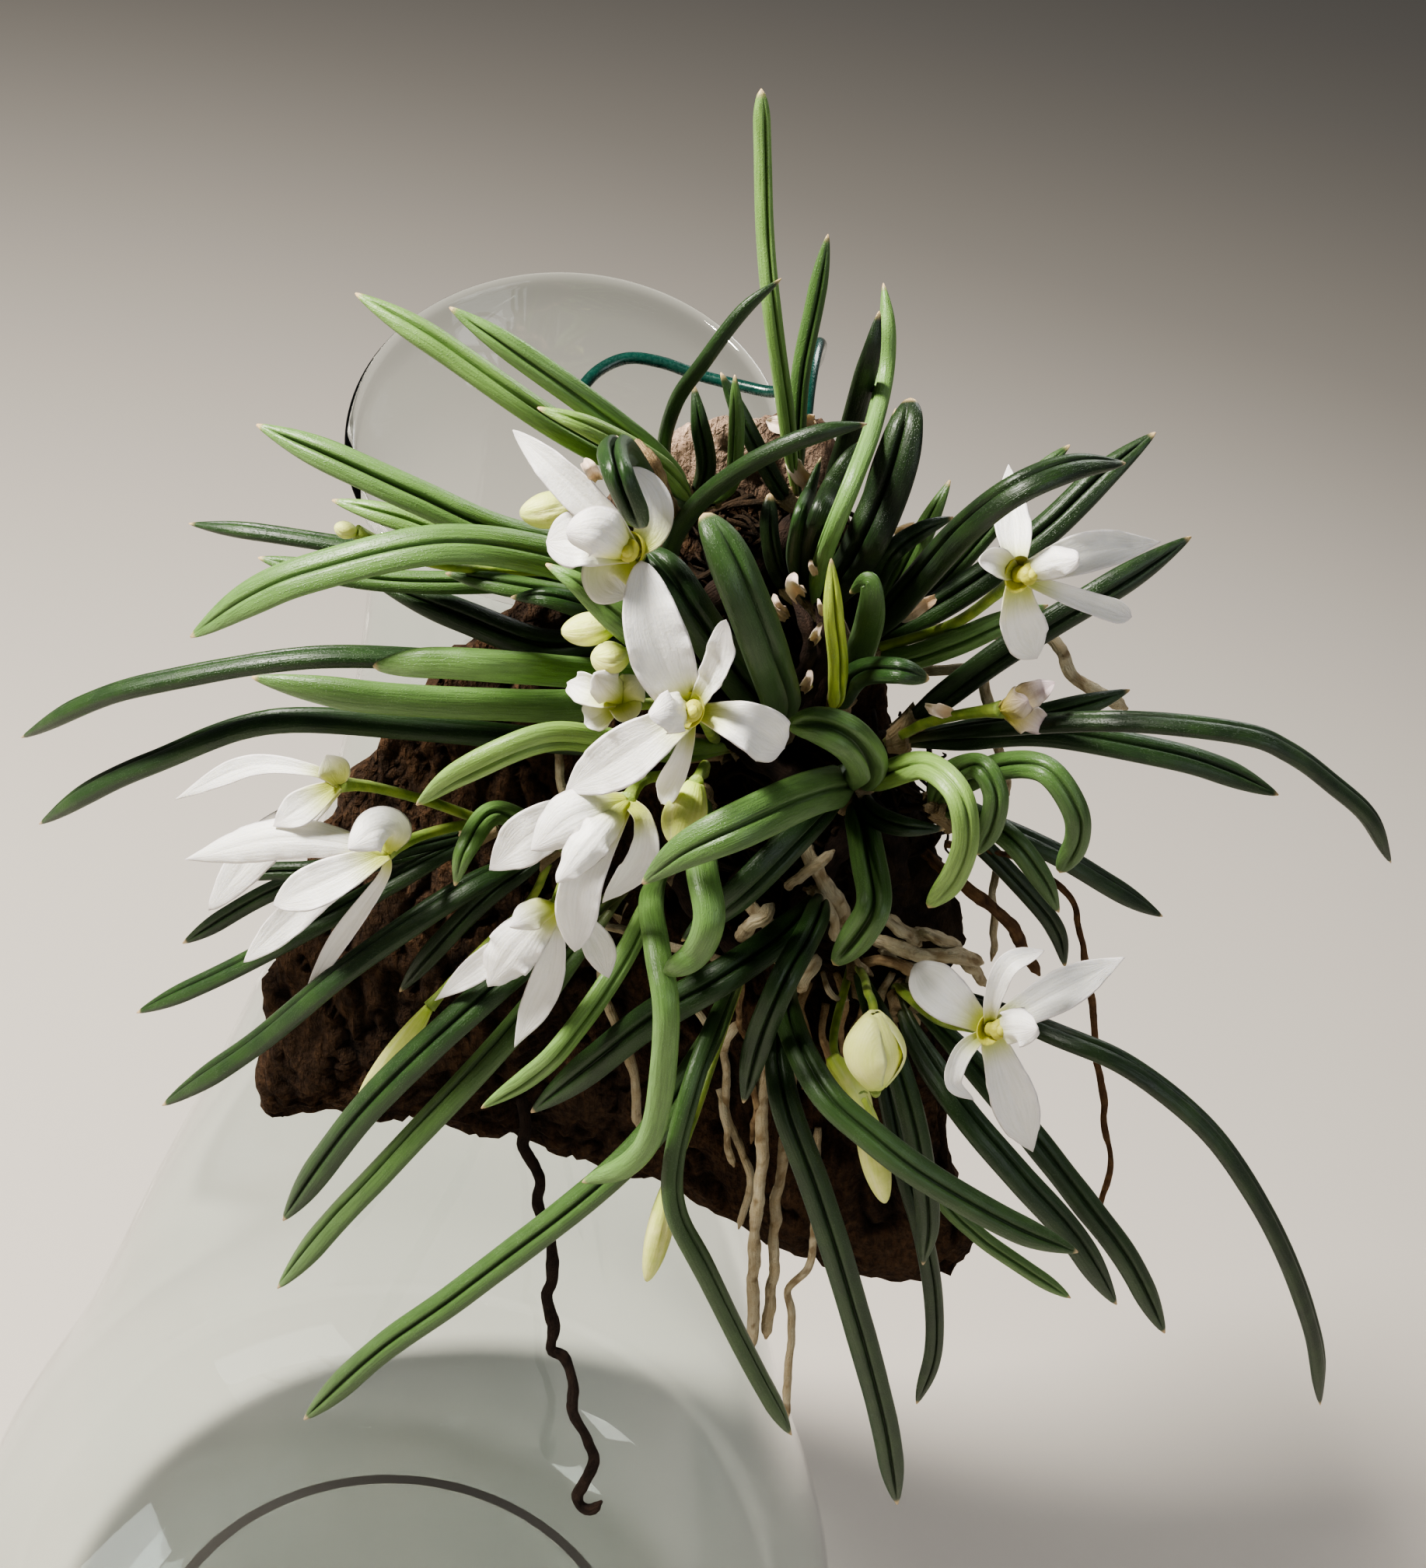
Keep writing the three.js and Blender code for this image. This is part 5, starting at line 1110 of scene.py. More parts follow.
outside = smooth_line(VASE_PROFILE, 96)
inside = outside[outside[:, 1] > INSIDE_FROM][::-1]
wall = GLASS + (LIP - GLASS) * smooth_step(inside[:, 1], VASE_HEIGHT - LIP_REACH, VASE_HEIGHT)
inside = inside - np.stack([wall, 0 * wall], -1)
lip_turn = np.linspace(0, np.pi, 9)[1:-1]
lip = np.stack([np.cos(lip_turn), np.sin(lip_turn)], -1) * LIP / 2 + [MOUTH_RADIUS - LIP / 2, VASE_HEIGHT]
under = np.array([(2, 1.2), (30, 1.2), (63, 1.0), (68.5, 0.0)])
floor_of_vase = np.array([(80, 8.4), (66, 6.6), (30, 6.2), (2, 6.0)])
vase_profile = np.vstack([under, outside, lip, inside, floor_of_vase])
vase_rings = slanted(turned_about_axis(vase_profile, VASE_SIDES))
plain_marks = marked(vase_rings.shape[:2])
vase = piece("vase", [shell(vase_rings, vase_rings, plain_marks)], glass_finish, ["vase_glass"])
print("vase:", len(vase.data.polygons), "faces")

# %% [markdown]
# Nothing may run into the glass. This function pushes points out of the vase, straight away from its
# axis, and everything that lies against the vase goes through it.


# %% Keeping off the glass
def off_the_glass(points, gap):
    """Points moved away from the vase's axis until they are a gap in mm from the outside of its wall.
    The wall's radius is read from the profile at the height that the slant had moved."""
    height = points[..., 2]
    reach = np.tan(MOUTH_SLANT) * points[..., 1]
    for _ in range(3):
        height = points[..., 2] - smooth_step(height, SLANT_FROM, VASE_HEIGHT) * reach
    nearest = np.interp(height, outside[:, 1], outside[:, 0], right=0) + gap
    radius = np.linalg.norm(points[..., :2], axis=-1)
    push = np.maximum(nearest / np.maximum(radius, 1e-6), 1)
    return points * np.stack([push, push, np.ones_like(push)], -1)


# %% [markdown]
# ## The wire hook
#
# One length of coated wire, bent over the rim and down to the top of the bark. It turns towards the eye
# on the way, so its sections are squared to a direction that the wire never follows.

# %% The wire
WIRE_RADIUS = 1.3
wire_line = smooth_line(seen(WIRE_ROUTE), 150)
never_along = unit(right + forward + down)
cap_share = np.minimum(distance_along(wire_line), distance_along(wire_line[::-1])[::-1])
wire_radius = WIRE_RADIUS * np.sqrt(np.clip(1 - (1 - np.clip(cap_share / WIRE_RADIUS, 0, 1)) ** 2, 0.01, 1))
wire_skin = tube(wire_line, wire_radius, 20, away=never_along)
piece("wire_hook", [wire_skin], wire_finish, ["wire_hanger"])
print("wire:", round(float(distance_along(wire_line)[-1])), "mm long")

# %% [markdown]
# ## The bark slab
#
# The slab's outline is given. Rings shrink from it to the middle of the front and the middle of
# the back, and noise stretched down the slab cuts furrows and lifts plates. Displacement with a
# modifier would do this too, but here the same noise also tells the finish where the hollows are,
# which it paints darker as shade.

# %% The bark
BARK_CENTRE = (850, 1120)
BARK_THICKNESS = 11.8
BARK_AROUND = 260
OUTLINE_STEPS = 40
PLATE_SIZE = (11, 30, 11)
FURROW_SIZE = (7.5, 38, 7.5)
CRUMB_SIZE = (1.7, 4.2, 1.7)


def closed_outline(places, count):
    """A smooth closed line through picture places, count points around."""
    looped = np.asarray(places[-2:] + places + places[:3], float)
    line = smooth_line(looped, (len(looped) - 1) * OUTLINE_STEPS)
    inner = line[2 * OUTLINE_STEPS : (2 + len(places)) * OUTLINE_STEPS]
    return at_distances(inner, np.linspace(0, distance_along(inner)[-1], count, endpoint=False))


def slab(outline, centre, shares, outs):
    """Rings of places: the outline shrunk towards the centre by a share, standing out by an amount."""
    centre = np.asarray(centre, float)
    shrunk = centre + (outline - centre) * np.asarray(shares)[:, None, None]
    lifted = np.broadcast_to(np.asarray(outs)[:, None, None], (*shrunk.shape[:2], 1))
    return standing(np.concatenate([shrunk, lifted], -1))


front = np.linspace(0.02, 1, 64)
back = np.linspace(1, 0.02, 40)
edge_turn = np.linspace(0, np.pi, 12)
front_out = 0.4 - 2.4 * front**6
bark_shares = np.concatenate([front, 1 + 0.035 * np.sin(edge_turn[1:-1]), back])
bark_outs = np.concatenate(
    [
        front_out,
        np.interp(edge_turn[1:-1], [0, np.pi], [front_out[-1], 1.0 - BARK_THICKNESS]),
        -BARK_THICKNESS + 1.0 * back**6,
    ]
)
bark_outline = closed_outline(BARK_OUTLINE, BARK_AROUND)
bark_rings = slab(bark_outline, BARK_CENTRE, bark_shares, bark_outs)


def outward(rings):
    """The direction out of a shell at each point, from the two ways along its grid."""
    around = np.roll(rings, -1, axis=1) - np.roll(rings, 1, axis=1)
    return unit(np.cross(around, np.gradient(rings, axis=0)))


bark_place = np.stack([bark_rings @ right, bark_rings @ down, bark_rings @ forward], -1)
plates = rough_noise(bark_place / PLATE_SIZE, 3, seed=11)
furrows = 1 - np.abs(rough_noise(bark_place / FURROW_SIZE + 0.5 * plates[..., None], 3, seed=21))
crumbs = rough_noise(bark_place / CRUMB_SIZE, 3, seed=31)
cut = np.clip(furrows - 0.74, 0, 1) / 0.26
relief_height = 1.5 * plates + 0.6 * crumbs - 2.4 * cut
bark_rings = bark_rings + outward(bark_rings) * (relief_height - 0.2)[..., None]
bark_rings = off_the_glass(bark_rings, 0.5)
top_level = standing([(950, 660, 0)])[0] @ down
torn_top = smooth_step(bark_place[..., 1], top_level, top_level - 14) * smooth_step(plates, -0.6, 0.5)
# Where the finish paints shade: in the cut furrows and between raised plates.
hollow_shade = np.clip(0.75 * cut + smooth_step(-plates, 0.35, 0.9) * 0.5, 0, 1)
bark_marks = marked(bark_rings.shape[:2], hollow_shade, torn_top)
bark = piece("bark", [shell(bark_rings, bark_place, bark_marks)], bark_finish, ["bark_slab"])
print("bark:", len(bark.data.polygons), "faces")

# %% [markdown]
# ## Leaves that keep clear of each other
#
# The given places say where a leaf is seen, and only roughly how far it stands out. Where two leaves
# cross, the one in front has to clear the one behind. So all leaves start as rows of places, and in
# rounds, each pair that is too close is pushed apart along the view. The push is eased along a leaf, so
# it stays one smooth curve. The plain solids were settled in the same way.

# %% Rows of leaf places
LEAF_STEPS = 24
FREE_SHARE = 0.8
GAP = 0.35
TEPAL_THICKNESS = 1.0
SETTLE_ROUNDS = 80
SETTLE_PACE = 0.8


def leaf_share(t):
    """A leaf's width from 0 to 1: a blunt tip, full for most of its length, a narrow foot."""
    return np.sqrt(np.minimum(1, 0.03 + 3.2 * t)) * (1 - 0.62 * smooth_step(t, 0.78, 1))


def tepal_share(t):
    """A tepal's width from 0 to 1: a pointed tip, widest past the middle, a narrow foot."""
    return 0.08 + 0.92 * np.sin(np.pi * (0.04 + 0.86 * t) ** 0.9)


def leaf_rows():
    """The leaves' names, widths and places, as arrays with one row for each leaf."""
    names, widths, places = [], [], []
    for shoot, parts in SHOOTS.items():
        for name, row in parts.items():
            if name == "knot":
                continue
            names.append((shoot, name))
            widths.append(row["wide"])
            places.append(smooth_line([*row["places"], parts["knot"]], LEAF_STEPS))
    return names, np.array(widths), np.array(places)


def obstacle_rows():
    """Places on tepals and buds that a leaf keeps off, with half their width and half their thickness."""
    places, halves, thicks = [], [], []
    for parts in FLOWERS.values():
        for name, row in parts.items():
            if name in ("centre", "stalk"):
                continue
            line = smooth_line([*row["places"], parts["centre"]], 10)
            places.append(line)
            halves.append(tepal_share(np.linspace(0, 1, 11)) * row["wide"] / 2)
            thicks.append(np.full(11, TEPAL_THICKNESS / 2))
    for row in BUDS.values():
        places.append(smooth_line(row["places"][:2], 6))
        halves.append(np.full(7, row["wide"] / 2))
        thicks.append(np.full(7, row["wide"] / 2))
    return np.vstack(places), np.concatenate(halves), np.concatenate(thicks)


def spread(rows, times):
    """Each row evened out along itself: every value becomes half itself and a quarter of each
    neighbour, a few times over."""
    for _ in range(times):
        before = np.concatenate([rows[:, :1], rows[:, :-1]], 1)
        after = np.concatenate([rows[:, 1:], rows[:, -1:]], 1)
        rows = 0.5 * rows + 0.25 * (before + after)
    return rows


def settled(widths, places):
    """Moves the leaves apart along the view. The distance that two places need is that of two ovals:
    most where they are seen right over each other, and none where they are seen side by side."""
    leaves, samples = places.shape[:2]
    t = np.linspace(0, 1, samples)
    half = (leaf_share(t) * widths[:, None] / 2).ravel()
    still_places, still_half, still_thick = obstacle_rows()
    flat = np.vstack([places.reshape(-1, 3)[:, :2], still_places[:, :2]])
    halves = np.concatenate([half, still_half])
    thick = np.concatenate([half, still_thick])
    owner = np.concatenate([np.repeat(np.arange(leaves), samples), np.full(len(still_half), -1)])
    free = np.concatenate([np.tile(t <= FREE_SHARE, leaves), np.full(len(still_half), True)])
    moving = len(half)
    apart = np.linalg.norm(flat[:moving, None] - flat[None], axis=-1) / PX_PER_MM
    reach = halves[:moving, None] + halves[None]
    later = np.arange(len(flat))[None] > np.arange(moving)[:, None]
    close = (apart < reach) & later & (owner[:moving, None] != owner[None]) & free[:moving, None] & free
    a, b = np.nonzero(close)
    need = (thick[a] + thick[b] + GAP) * np.sqrt(1 - (apart[a, b] / reach[a, b]) ** 2)
    out = np.concatenate([places[..., 2].ravel(), still_places[:, 2]])
    order = np.where(out[a] >= out[b], 1.0, -1.0)
    share = np.where(owner[b] < 0, 1.0, 0.5)
    for _ in range(SETTLE_ROUNDS):
        short = np.maximum(need - order * (out[a] - out[b]), 0) * order * share
        most = np.zeros(len(out))
        least = np.zeros(len(out))
        for index, push in ((a, short), (b, -short)):
            np.maximum.at(most, index, push)
            np.minimum.at(least, index, push)
        push = np.where(most >= -least, most, least)[:moving].reshape(leaves, samples)
        out[:moving] += SETTLE_PACE * spread(push, 3).ravel()
    moved = places.copy()
    change = out[:moving].reshape(leaves, samples) - places[..., 2]
    moved[..., 2] += spread(change, 2) * (1 - smooth_step(t, 0.88, 1))
    return moved


leaf_names, leaf_widths, leaf_places = leaf_rows()
leaf_places = settled(leaf_widths, leaf_places)
print(len(leaf_names), "leaves settled")

# %% [markdown]
# ## Leaf blades
#
# A leaf is fleshy, rounder below than above, with a deep groove along its upper side. Its section has 26
# points that crowd together at the groove, so the crease stays sharp without a fine grid everywhere.
# What differs from leaf to leaf stands in its row of places: how green, how round its tip is, how deep
# and how wide the groove is, and how far the groove is turned from the eye.

# %% The leaf's section and blade
LEAF_RINGS = 64
FOOT_FROM = 0.76
crowded = np.pi / 2 * (1 - (1 - np.linspace(0, 1, 10)) ** 1.7)
upper_turn = np.concatenate([crowded, np.pi - crowded[-2::-1]])
lower_turn = np.linspace(np.pi, 2 * np.pi, 9)[1:-1]
leaf_turn = np.concatenate([upper_turn, lower_turn])


def leaf_width(way, length, wide, blunt):
    """Half the width at each step, in mm. The tip opens as a quarter of a sine over a few widths, and
    sooner and rounder where it is blunt. Past FOOT_FROM of the length it narrows to the foot."""
    point = wide * (3.4 - 2.2 * blunt)
    opening = np.sin(np.pi / 2 * np.clip(way / point, 0, 1)) ** (0.85 - 0.35 * blunt)
    foot = 1 - 0.6 * smooth_step(way / length, FOOT_FROM, 1)
    belly = 0.9 + 0.1 * np.sin(np.pi * way / length)
    return wide / 2 * (0.07 + 0.93 * opening) * foot * belly


def leaf_blade(
    places, wide, seed, tone, turn, thick=0.6, deep=0.62, gape=0.1, blunt=0.25, bite=None, away=forward
):
    """A grooved leaf, with the looks of a plain one where its row says nothing else. Its section is an
    oval, flatter above than below. The groove is a bell-shaped dent whose two banks bulge, and it fades
    towards the tip."""
    line = standing(smooth_line(places, LEAF_RINGS - 1))
    way = distance_along(line)
    length = way[-1]
    half = leaf_width(way, length, wide, blunt) * (1 + 0.035 * wander(way, seed, 9))
    cx = np.sign(np.cos(leaf_turn)) * np.abs(np.cos(leaf_turn)) ** 0.9
    cy = np.sign(np.sin(leaf_turn)) * np.abs(np.sin(leaf_turn)) ** 0.9
    above = cy > 0
    fade = (smooth_step(way, 1.0, 7.0) * (1 - 0.5 * smooth_step(way / length, 0.85, 1)))[:, None]
    dent = deep * fade * np.exp(-((cx / gape) ** 2))
    banks = 0.16 * deep * fade * np.exp(-(((np.abs(cx) - 0.45) / 0.28) ** 2))
    body = np.where(above, 0.92 * cy * (1 + banks) - dent, 1.05 * cy)
    lean = 0.05 * wander(way, seed + 5, 14)[:, None]
    x = half[:, None] * (cx + lean * (1 - cx**2))
    y = thick * half[:, None] * body
    if bite:
        share, side, depth = bite
        reached = np.exp(-(((way - share * length) / 1.5) ** 2))[:, None]
        x = x - side * depth * reached * smooth_step(side * cx, 0.35, 0.9)
    up = unit(np.cross(np.gradient(line, axis=0), away)) @ -down
    roll = -np.radians(turn) * np.sign(up.mean() or 1.0)
    roll = roll + 0.12 * wander(way, seed + 9, 30)
    rings = carried(line, x, y, roll, away)
    shape = x.shape
    flat = stacked(x, y, way, 37.0 * (seed % 11))
    # This mark tells the finish where to paint shade into the groove.
    groove = np.where(above, np.exp(-((cx / (gape * 1.3)) ** 2)), 0) * fade * min(1, deep * 1.2)
    tip = np.exp(-way / 1.3)[:, None]
    foot = smooth_step(way / length, 0.5 * FOOT_FROM + 0.5, 1)[:, None] * 0.8
    return shell(rings, flat, marked(shape, groove, tip, tone, foot))


for shoot in SHOOTS:
    blades = []
    for index, (owner, name) in enumerate(leaf_names):
        if owner != shoot:
            continue
        look = SHOOTS[shoot][name]["look"]
        blades.append(leaf_blade(leaf_places[index], leaf_widths[index], index * 13 + 3, **look))
    piece("leaves_" + shoot, blades, leaf_finish, [shoot])

# %% [markdown]
# ## Flowers
#
# Each flower has long white tepals, a small ruffled lip, and a yellow-green column in its heart. A tepal
# is a thin blade whose section bends into a channel, with a rim that waves. Cloth simulation could curl
# them, but their folds are crisp and stay put, so a rule for the section is closer and always the same.

# %% Tepals
TEPAL_RINGS = 44
RIM_STEPS = 19
LONG_WAVE = 6.5
SHORT_WAVE = 3.7
HEART_FROM = 9.5
HEART_TO = 1.5
rim_side = np.linspace(-1, 1, RIM_STEPS)
tepal_side = np.concatenate([rim_side, rim_side[-2:0:-1]])
tepal_front = np.concatenate([np.ones(RIM_STEPS), -np.ones(RIM_STEPS - 2)])


def tepal_width(t, peak, sharp, claw):
    """Width from 0 to 1. It rises from the tip as a power of a sine, so a small power is a round tip,
    reaches 1 at the peak, and falls to the width of the claw at the heart."""
    rise = np.clip(t / peak, 0, 1)
    opening = np.sin(np.pi / 2 * rise) ** sharp
    closing = claw + (1 - claw) * np.cos(np.pi / 2 * np.clip((t - peak) / (1 - peak), 0, 1)) ** 1.3
    return 0.03 + 0.97 * np.where(t < peak, opening, closing)


def tepal_blade(
    places, wide, seed, peak=0.45, sharp=0.95, claw=0.35, cup=0.3, ruffle=0.05, turn=0, tone=0.0
):
    """A thin blade. Across it the section is a channel, cup times the square of the way to the edge, and
    the rim waves by ruffle. It is thickest along the middle and thin at the rim."""
    line = standing(smooth_line(places, TEPAL_RINGS - 1))
    way = distance_along(line)
    t = way / way[-1]
    width = tepal_width(t, peak, sharp, claw)
    half = (wide / 2 * width * (1 + 0.05 * wander(way, seed, 5)))[:, None]
    side = tepal_side[None]
    waves = np.sin(2 * np.pi * way / LONG_WAVE + seed)
    waves = waves + 0.6 * np.sin(2 * np.pi * way / SHORT_WAVE + 2 * seed)
    furl = cup * (1 + 0.25 * wander(way, seed + 7, 9))[:, None] * (0.7 + 0.5 * t)[:, None]
    bend = furl * (side**2 - 0.25) + ruffle * waves[:, None] * np.abs(side) ** 3 * np.sign(side + 0.3)
    skin = (0.16 + 0.22 * (1 - side**2)) * (0.6 + 0.4 * smooth_step(way, 0, 4))[:, None]
    crease = -0.05 * np.exp(-((side / 0.12) ** 2)) * smooth_step(t, 0.05, 0.3)[:, None]
    x = half * side * (1 - 0.12 * np.abs(bend))
    y = half * (bend + crease) + tepal_front * skin * np.sqrt(np.clip(1 - side**6, 0.02, 1))
    roll = np.radians(turn) * (1 - 0.5 * t) + 0.1 * wander(way, seed + 3, 12)
    rings = carried(line, -x, y, roll)[:, ::-1]
    shape = x.shape
    fan = side / (0.35 + 0.65 * width)[:, None] * wide / 2
    flat = stacked(fan, 0.0, way, 5.0 * seed)[:, ::-1]
    heart = smooth_step(way, way[-1] - HEART_FROM, way[-1] - HEART_TO)[:, None] * 0.95
    rim = np.maximum(side**8, np.exp(-way / 2)[:, None])
    return shell(rings, flat, marked(shape, heart, rim, tone, t[:, None])[:, ::-1])


def stalk_line(start, places):
    """The line of a stalk, from its flower or bud to where it is rooted."""
    return standing(smooth_line([start, *places], 30))


for number, (flower, parts) in enumerate(FLOWERS.items()):
    blades = []
    for index, (name, row) in enumerate(parts.items()):
        if name in ("centre", "stalk"):
            continue
        places = [*row["places"], parts["centre"]]
        blades.append(tepal_blade(places, row["wide"], number * 17 + index, **row["look"]))
    skin = withered_finish if flower == "flower_withered" else petal_finish
    piece("petals_" + flower, blades, skin, [flower])
    line = stalk_line(parts["centre"], parts["stalk"])
    swell = 1.0 + 0.7 * np.exp(-distance_along(line) / 3)
    piece("stalk_" + flower, [tube(line, swell, 12, lobes=0.03, seed=number)], stalk_finish)
print("flowers:", len(FLOWERS))

# %% [markdown]
# In the heart, the column is a stubby hood with a cap at its end, and a low cup joins it to the tepals.
# Both are turned shapes, but the cup is pulled out on one side where the lip begins.


# %% The hearts of the open flowers
def turned_shell(profile, base, axis, sides=20, squeeze=0.0, tone=0.5, aside=0.0):
    """Rings of (radius, height) rows about an axis in space. squeeze makes the round oval, and aside
    pushes each ring to one side by its height."""
    axis = unit(np.asarray(axis, float))
    first = unit(np.cross(axis, right + 0.3 * down))
    second = np.cross(axis, first)
    radius, height = np.asarray(profile, float).T
    angle = round_angles(sides)
    x = radius[:, None] * np.cos(angle) * (1 + squeeze)
    y = radius[:, None] * np.sin(angle) * (1 - squeeze) + aside * height[:, None]
    rings = base + x[..., None] * first + y[..., None] * second + height[:, None, None] * axis
    flat = stacked(x, y, height)
    share = np.linspace(0, 1, len(radius))[:, None]
    return shell(rings, flat, marked(x.shape, 0, 0, tone, share))


CUP = [
    (0.3, -1.4), (1.3, -1.1), (2.0, -0.3), (2.5, 0.7), (2.8, 1.5),
    (2.6, 1.6), (2.1, 0.7), (1.5, 0.1), (0.3, -0.2),
]
COLUMN = [
    (0.2, -0.5), (1.1, -0.2), (1.3, 0.8), (1.2, 1.7), (1.4, 2.6),
    (1.75, 3.3), (1.7, 3.9), (1.1, 4.4), (0.15, 4.5),
]
CAP = [(0.1, -0.9), (0.8, -0.7), (1.05, 0.0), (0.9, 0.6), (0.35, 0.95), (0.05, 1.0)]
HEARTS = {
    "flower_front": (892, 911, 70, -0.30, 0.25),
    "flower_right": (1306, 738, 56, 0.35, 0.20),
    "flower_low_right": (1271, 1321, 62, 0.20, 0.10),
    "flower_upper_left": (818, 706, 62, -0.60, 0.30),
}
for flower, (px, py, out, lean_right, lean_down) in HEARTS.items():
    base = standing([(px, py, out - 3)])[0]
    axis = unit(-forward + lean_right * right + lean_down * down)
    column_axis = unit(axis + 0.25 * right - 0.1 * down)
    top = base + 4.2 * column_axis
    parts = [
        turned_shell(CUP, base, axis, 24, 0.12, 0.25, 0.15),
        turned_shell(COLUMN, base, column_axis, 20, 0.10, 0.7),
        turned_shell(CAP, top, unit(axis + 0.9 * right), 16, 0.05, 0.1),
    ]
    piece("heart_" + flower, parts, throat_finish)
print("hearts:", len(HEARTS))

# %% [markdown]
# ## Buds
#
# A closed bud is a drop with three sepals that meet in seams. The cream bud by the lowest flower is
# about to open: four sepals lap over each other around one axis.


# %% Closed buds
def bud_drop(tip, base, wide, seed):
    """A drop from tip to base. Its radius is a sine of the way, sharper at the tip, and three seams
    cut in where the sepals meet, turning a little along the bud."""
    start, end = standing([tip, base])
    way = np.linspace(0, 1, 30)
    middle = start + (end - start) * way[:, None]
    middle = middle + down * (0.06 * wide * np.sin(np.pi * way))[:, None]
    length = np.linalg.norm(end - start)
    radius = wide / 2 * (0.05 + 0.95 * np.sin(np.pi * (0.02 + 0.9 * way**0.85)) ** 0.75)
    angle = round_angles(36)
    seam = np.abs(np.sin(1.5 * (angle + 0.8 * way[:, None] + seed)))
    dent = 1 - 0.13 * np.exp(-((seam / 0.16) ** 2)) + 0.03 * seam
    x = radius[:, None] * np.cos(angle) * dent
    y = radius[:, None] * np.sin(angle) * dent
    flat = stacked(angle * wide / 2, 0.0, way * length, 3.0 * seed)
    towards_stalk = 0.75 * smooth_step(way, 0.62, 1.0)[:, None]
    edge = np.exp(-((seam / 0.2) ** 2)) * 0.8
    return shell(carried(middle, x, y), flat, marked(x.shape, towards_stalk, edge, 0.4, way[:, None]))


def lapped_sepal(base, axis, out, length, wide, seed):
    """One sepal of an opening bud. It leaves the base, swells away from the axis and closes over the
    tip, and its section wraps around the axis."""
    t = np.linspace(0, 1, 24)
    swell = wide / 2 * np.sin(np.pi * (0.06 + 0.9 * t)) ** 0.8
    line = base + axis * (length * t)[:, None] + out * swell[:, None]
    side = tepal_side[None]
    half = (wide * 0.62 * (0.12 + 0.88 * np.sin(np.pi * (0.08 + 0.88 * t)) ** 0.7))[:, None]
    x = half * np.sin(side * 1.1)
    y = -half * (1 - np.cos(side * 1.1)) + tepal_front * (0.15 + 0.2 * (1 - side**2))
    rings = carried(line, -x, y, 0.0, -out)[:, ::-1]
    flat = stacked(x, 0.0, length * (1 - t), 5.0 * seed)[:, ::-1]
    marks = marked(x.shape, 0.6 * smooth_step(-t, -0.3, 0)[:, None], side**8, 0.15, t[:, None])[:, ::-1]
    return shell(rings, flat, marks)


def opening_bud(tip, base, wide, seed, sepals=4):
    """The lapped sepals of a bud about to open, every second one a little narrower."""
    start, end = standing([base, tip])
    axis = unit(end - start)
    length = np.linalg.norm(end - start)
    first = unit(np.cross(axis, forward))
    second = np.cross(axis, first)
    blades = []
    for index in range(sepals):
        turn = 2 * np.pi * index / sepals + 0.6
        out = np.cos(turn) * first + np.sin(turn) * second
        size = wide * (0.92 if index % 2 else 1.05)
        blades.append(lapped_sepal(start, axis, out, length, size, seed + index))
    return blades


OPENING = ("bud_cream",)
SWELLINGS = {"bud_low": ((1117, 1442, 50), (1070, 1358, 45), 6.2)}
for number, (bud, row) in enumerate(BUDS.items()):
    tip, base, *rest = row["places"]
    if bud in OPENING:
        skins = opening_bud(base, tip, row["wide"], number)
        behind = [(px, py, out - 0.62 * row["wide"]) for px, py, out in (tip, base)]
        base, rest = tip, [*behind, *rest]
    else:
        skins = [bud_drop(tip, base, row["wide"], number)]
    if bud in SWELLINGS:
        skins.append(bud_drop(*SWELLINGS[bud], number + 1))
    piece("skin_" + bud, skins, cream_finish, [bud])
    line = stalk_line(base, rest)
    swell = 0.85 + 0.5 * np.exp(-distance_along(line) / 3)
    piece("stalk_" + bud, [tube(line, swell, 12, lobes=0.03, seed=number)], stalk_finish)
print("buds:", len(BUDS))

# %% [markdown]
# ## Roots
#
# Orchid roots are cords of living tissue in a chalky coat. They swell and pinch, kink where they met
# something, and end in a blunt tip. So a root is a tube whose radius and whose middle line both wander.


# %% The roots that the plain solids have
ROOT_STEP = 0.9


def knobbly(places, wide, seed, kink=0.5, lobes=0.09):
    """A root: a smooth line with small kinks added across the view, and a radius that swells and
    pinches every few millimetres."""
    rough = standing(smooth_line(places, 12 * len(places)))
    length = distance_along(rough)[-1]
    steps = np.linspace(0, length, max(int(length / ROOT_STEP), 8))
    line = at_distances(rough, steps)
    ends = smooth_step(np.minimum(steps, steps[-1] - steps), 0, 6)
    line = line + kink * (ends * wander(steps, seed, 4.5))[:, None] * right
    line = line + kink * (ends * wander(steps, seed + 1, 3.5))[:, None] * down
    radius = wide / 2 * (1 + 0.2 * wander(steps, seed + 2, 5) + 0.12 * wander(steps, seed + 3, 1.8))
    radius = radius * (0.25 + 0.75 * smooth_step(steps[-1] - steps, 0, 2.5))
    tone = 0.5 + 0.5 * wander(steps, seed + 4, 12)
    return tube(line, radius, 12, tone[:, None], lobes=lobes, seed=seed)


ROOT_FINISH = {
    "root_long_dark": (dark_root_finish, "dark_root"),
    "root_brown": (brown_root_finish, "dark_root"),
    "root_thin": (brown_root_finish, "dark_root"),
}
for number, (root, row) in enumerate(ROOTS.items()):
    skin, slot_name = ROOT_FINISH.get(root, (pale_root_finish, "pale_root"))
    kink = 0.35 if root == "root_long_dark" else 0.55
    cord = knobbly(row["places"], row["wide"], 40 + number, kink)
    piece("skin_" + root, [cord], skin, [root])
print("roots:", len(ROOTS))

# %% [markdown]
# The plain solids leave out the smallest roots. Here more of them creep over the bark's face, and fine
# dark threads with pale bits fill the mat that the plant grows from.

